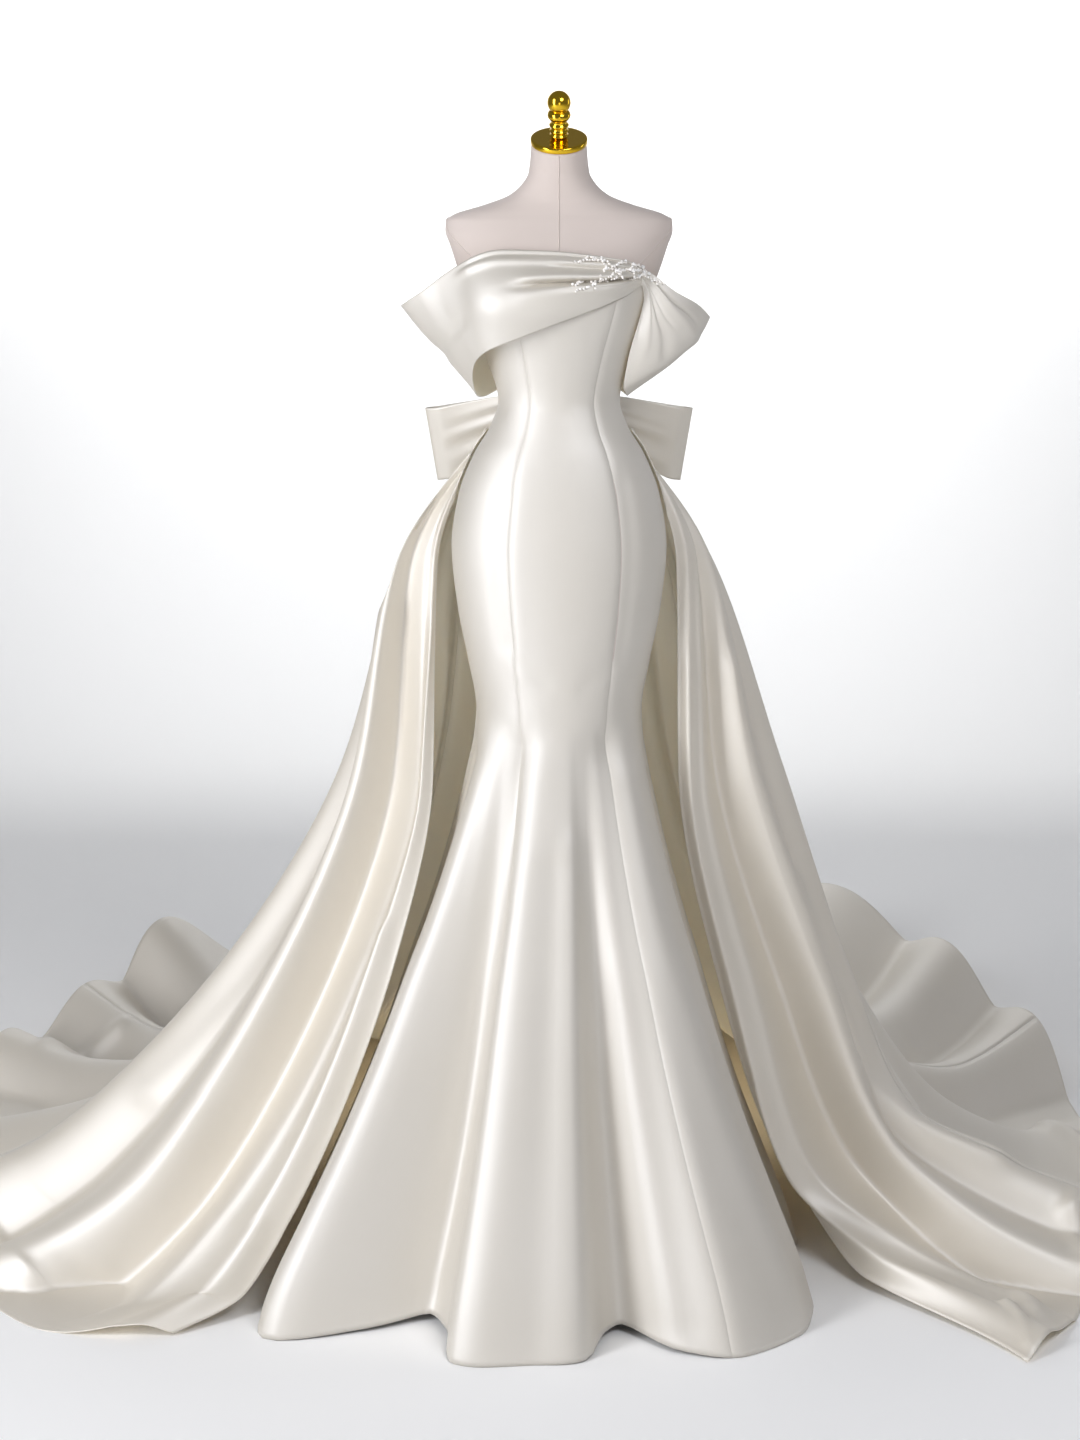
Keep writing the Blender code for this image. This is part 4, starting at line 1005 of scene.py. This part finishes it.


# Overskirt and train
# A full overskirt, open at the front and pleated into the waist, falls in long soft folds and runs out
# over the floor as a train; it is unlined, so its inside shows the satin's back in painted bounce light.
FOLD_COLUMNS = ("waist", "hip_azimuth", "hip_radius", "thigh_radius", "shin_azimuth", "shin_radius",
                "low_azimuth", "low_radius", "low_height", "floor_azimuth", "floor_radius",
                "floor_height", "hem_azimuth", "hem_radius", "hem_height", "dip")
FOLDS = (
    (93, 92, .200, .212, 66, .320, 65, .49, .15, 64, .590, .030, 63, .700, .001, -.012),
    (96, 91, .216, .235, 76, .360, 73, .58, .15, 71, .740, .020, 70, .885, .001, .060),
    (99, 90, .266, .338, 84, .500, 83, .76, .15, 83, .900, .070, 84, 1.08, .020, .055),
    (105, 106, .272, .382, 101, .598, 99, .95, .15, 98, 1.08, .090, 97, 1.21, .030, .050),
    (113, 118, .268, .360, 116, .550, 115, .93, .15, 114, 1.16, .060, 113, 1.34, .010, .052),
    (123, 130, .260, .340, 130, .530, 129, .93, .15, 128, 1.26, .070, 127, 1.46, .090, .048),
    (135, 143, .256, .330, 142, .510, 140, .92, .15, 138, 1.30, .070, 138, 1.56, .100, .055),
    (149, 156, .256, .325, 155, .500, 152, .92, .15, 149, 1.34, .070, 147, 1.66, .180, .050),
    (164, 169, .258, .325, 168, .500, 167, .92, .15, 166, 1.38, .050, 165, 1.80, .020, .056),
    (180, 182, .258, .325, 183, .500, 183, .92, .15, 183, 1.40, .060, 183, 1.87, .040, .050),
    (196, 196, .258, .325, 198, .500, 200, .92, .15, 201, 1.38, .080, 201, 1.82, .170, .054),
    (210, 209, .258, .330, 213, .510, 214, .90, .15, 214, 1.26, .080, 214, 1.57, .150, .048),
    (222, 223, .262, .345, 228, .525, 229, .86, .15, 228, 1.12, .070, 227, 1.38, .100, .052),
    (233, 236, .266, .370, 243, .540, 246, .80, .15, 247, .980, .060, 248, 1.13, .050, .030),
    (243, 250, .268, .396, 258, .515, 266, .62, .25, 269, .830, .145, 271, 1.05, .080, .025),
    (252, 261, .254, .322, 268, .450, 274, .57, .22, 278, .760, .090, 280, .960, .030, .055),
    (260, 268, .224, .240, 272, .325, 276, .45, .15, 284, .640, .060, 289, .885, .010, -.010),
    (267, 270, .192, .200, 270, .272, 271, .40, .15, 286, .540, .020, 299, .850, .001, .000),
)
WAIST_SIDE = 1.440
WAIST_BACK = 1.418
HIP_HEIGHT = 1.220
THIGH_HEIGHT = 0.860
SHIN_HEIGHT = 0.500
SHIN_SHARE = 0.50
LOW_SHARE = 0.70
FLOOR_SHARE = 0.82
STATION_SHARES = (0.0, 0.15, 0.33, SHIN_SHARE, LOW_SHARE, FLOOR_SHARE, 1.0)
WAIST_GAP = 0.0033
WAIST_GAP_SHARE = 0.012
OVERSKIRT_GAP = 0.006
FOLD_STRIPS = 24
FOLD_BANDS = 180
CREST_ROUNDNESS = 1.4
DIP_FACTOR = 1.1
DROP_FACTOR = 1.4
DEEPEST_DIP = 0.46
LYING_SHARE = 0.3
# Each crease: from fold and share of the length, to fold and share, rise, width.
OVERSKIRT_CREASES = (
    (0.50, 0.02, 0.50, 0.22, 0.005, 0.40),
    (0.50, 0.22, 0.48, 0.45, 0.010, 0.36),
    (0.48, 0.45, 0.34, 0.70, 0.016, 0.28),
    (0.34, 0.70, 0.22, 1.00, 0.018, 0.20),
    (1.95, 0.20, 1.85, 0.60, 0.010, 0.22),
    (1.85, 0.60, 1.60, 0.78, 0.014, 0.20),
    (2.55, 0.00, 2.50, 0.18, 0.005, 0.15),
    (3.50, 0.00, 3.60, 0.22, 0.006, 0.15),
    (4.45, 0.00, 4.40, 0.16, 0.005, 0.14),
    (5.55, 0.00, 5.50, 0.24, 0.006, 0.15),
    (6.50, 0.00, 6.60, 0.18, 0.006, 0.15),
    (7.50, 0.00, 7.40, 0.26, 0.006, 0.16),
    (8.55, 0.00, 8.60, 0.17, 0.005, 0.15),
    (9.50, 0.00, 9.45, 0.22, 0.006, 0.15),
    (10.5, 0.00, 10.5, 0.17, 0.005, 0.15),
    (11.5, 0.00, 11.6, 0.25, 0.006, 0.16),
    (12.5, 0.00, 12.4, 0.18, 0.006, 0.15),
    (13.5, 0.00, 13.5, 0.22, 0.006, 0.14),
    (14.5, 0.00, 14.6, 0.15, 0.004, 0.14),
    (16.5, 0.02, 16.5, 0.25, 0.005, 0.40),
    (16.5, 0.25, 16.5, 0.60, 0.010, 0.34),
    (16.5, 0.60, 16.7, 1.00, 0.014, 0.24),
    (15.0, 0.25, 14.6, 0.60, 0.010, 0.20),
    (14.6, 0.60, 14.0, 0.78, 0.014, 0.20),
    (2.35, 0.30, 2.60, 0.60, 0.010, 0.13),
    (3.45, 0.45, 3.30, 0.72, 0.012, 0.15),
    (4.55, 0.40, 4.35, 0.66, 0.011, 0.14),
    (5.40, 0.50, 5.65, 0.80, 0.012, 0.14),
    (7.60, 0.42, 7.35, 0.72, 0.012, 0.14),
    (8.40, 0.52, 8.60, 0.84, 0.012, 0.15),
    (10.4, 0.44, 10.6, 0.74, 0.012, 0.14),
    (11.6, 0.50, 11.4, 0.80, 0.012, 0.14),
    (13.4, 0.40, 13.6, 0.68, 0.011, 0.14),
    (14.55, 0.42, 14.4, 0.62, 0.009, 0.13),
    (1.75, 0.86, 1.30, 0.97, 0.014, 0.16),
    (2.60, 0.84, 3.20, 0.92, 0.016, 0.18),
    (3.70, 0.88, 4.30, 0.95, 0.018, 0.18),
    (5.20, 0.90, 5.80, 0.86, 0.016, 0.17),
    (12.8, 0.86, 13.3, 0.93, 0.018, 0.18),
    (14.3, 0.88, 14.9, 0.95, 0.016, 0.17),
    (15.6, 0.90, 16.2, 0.97, 0.014, 0.15),
    (16.3, 0.94, 16.8, 0.99, 0.016, 0.12),
)
CREASE_ALONG = 12.0
OVERSKIRT_PANELS = (
    ("overskirt_left_front", 0, 3),
    ("overskirt_left_side", 3, 6),
    ("overskirt_back_left", 6, 9),
    ("overskirt_back_right", 9, 12),
    ("overskirt_right_side", 12, 14),
    ("overskirt_right_front", 14, 17),
)

folds = {name: column(FOLDS, FOLD_COLUMNS, name) for name in FOLD_COLUMNS}
fold_count = len(FOLDS)
waist_side = np.clip(np.abs(folds["waist"] - 180.0) / 90.0, 0.0, 1.0)
waist_height = WAIST_BACK + (WAIST_SIDE - WAIST_BACK) * waist_side ** 2
fold_azimuth = (folds["waist"], folds["hip_azimuth"], (folds["hip_azimuth"] + folds["shin_azimuth"]) / 2.0,
                folds["shin_azimuth"], folds["low_azimuth"], folds["floor_azimuth"], folds["hem_azimuth"])
fold_radius = (gown_radius(folds["waist"], waist_height) + WAIST_GAP, folds["hip_radius"],
               folds["thigh_radius"], folds["shin_radius"], folds["low_radius"], folds["floor_radius"],
               folds["hem_radius"])
fold_height = (waist_height, np.full(fold_count, HIP_HEIGHT), np.full(fold_count, THIGH_HEIGHT),
               np.full(fold_count, SHIN_HEIGHT), folds["low_height"], folds["floor_height"],
               folds["hem_height"])
fold_across = np.linspace(0.0, fold_count - 1, (fold_count - 1) * FOLD_STRIPS + 1)
fold_wave = 1.0 - np.abs(np.cos(math.pi * fold_across)) ** CREST_ROUNDNESS
fold_between = np.minimum(fold_across.astype(int), fold_count - 2)
fold_shares = np.linspace(0.0, 1.0, FOLD_BANDS + 1)
overskirt_lines = []
for share in fold_shares:
    angle, reach, level = (
        smooth(np.arange(fold_count), [smooth(STATION_SHARES, [stop[fold] for stop in stops], share)
                                       for fold in range(fold_count)], fold_across)
        for stops in (fold_azimuth, fold_radius, fold_height))
    overskirt_lines.append(np.stack((-reach * np.sin(np.radians(angle)),
                                     -reach * np.cos(np.radians(angle)), level), axis=-1))
overskirt_grid = np.array(overskirt_lines)
fold_chords = overskirt_grid[:, FOLD_STRIPS::FOLD_STRIPS] - overskirt_grid[:, :-1:FOLD_STRIPS]
fold_downs = np.gradient(overskirt_grid[:, FOLD_STRIPS // 2::FOLD_STRIPS], axis=0)
fold_inward = unit(np.cross(fold_downs, fold_chords))
fold_lying = np.clip((fold_shares - FLOOR_SHARE + LYING_SHARE) / LYING_SHARE, 0.0, 1.0)
fold_strength = np.minimum(1.0, fold_shares / SHIN_SHARE) * (1.0 + (DROP_FACTOR - 1.0) * fold_lying)
fold_depth = np.minimum(folds["dip"][:-1] * fold_strength[:, None],
                        DEEPEST_DIP * np.linalg.norm(fold_chords, axis=2)) * DIP_FACTOR
crease = crease_rise(OVERSKIRT_CREASES, fold_across[None, :], fold_shares[:, None], 1.0, CREASE_ALONG)
overskirt_grid += fold_inward[:, fold_between] * (fold_depth[:, fold_between] * fold_wave - crease)[..., None]
overskirt_grid[..., 2] = np.maximum(overskirt_grid[..., 2], CLOTH_THICKNESS / 2.0)
overskirt_reach = np.hypot(overskirt_grid[..., 0], overskirt_grid[..., 1])
overskirt_angle = np.degrees(np.arctan2(-overskirt_grid[..., 0], -overskirt_grid[..., 1]))
overskirt_clear = WAIST_GAP + (OVERSKIRT_GAP - WAIST_GAP) * np.minimum(1.0, fold_shares / WAIST_GAP_SHARE)
least_reach = gown_radius(overskirt_angle, overskirt_grid[..., 2]) + overskirt_clear[:, None]
overskirt_push = np.maximum(1.0, least_reach / overskirt_reach)
overskirt_grid[..., :2] *= np.where(fold_shares[:, None] <= LOW_SHARE, overskirt_push, 1.0)[..., None]
for name, first, last in OVERSKIRT_PANELS:
    add_cloth(name, overskirt_grid[:, first * FOLD_STRIPS:last * FOLD_STRIPS + 1],
              satin_painted_glow, satin_painted_bounce)
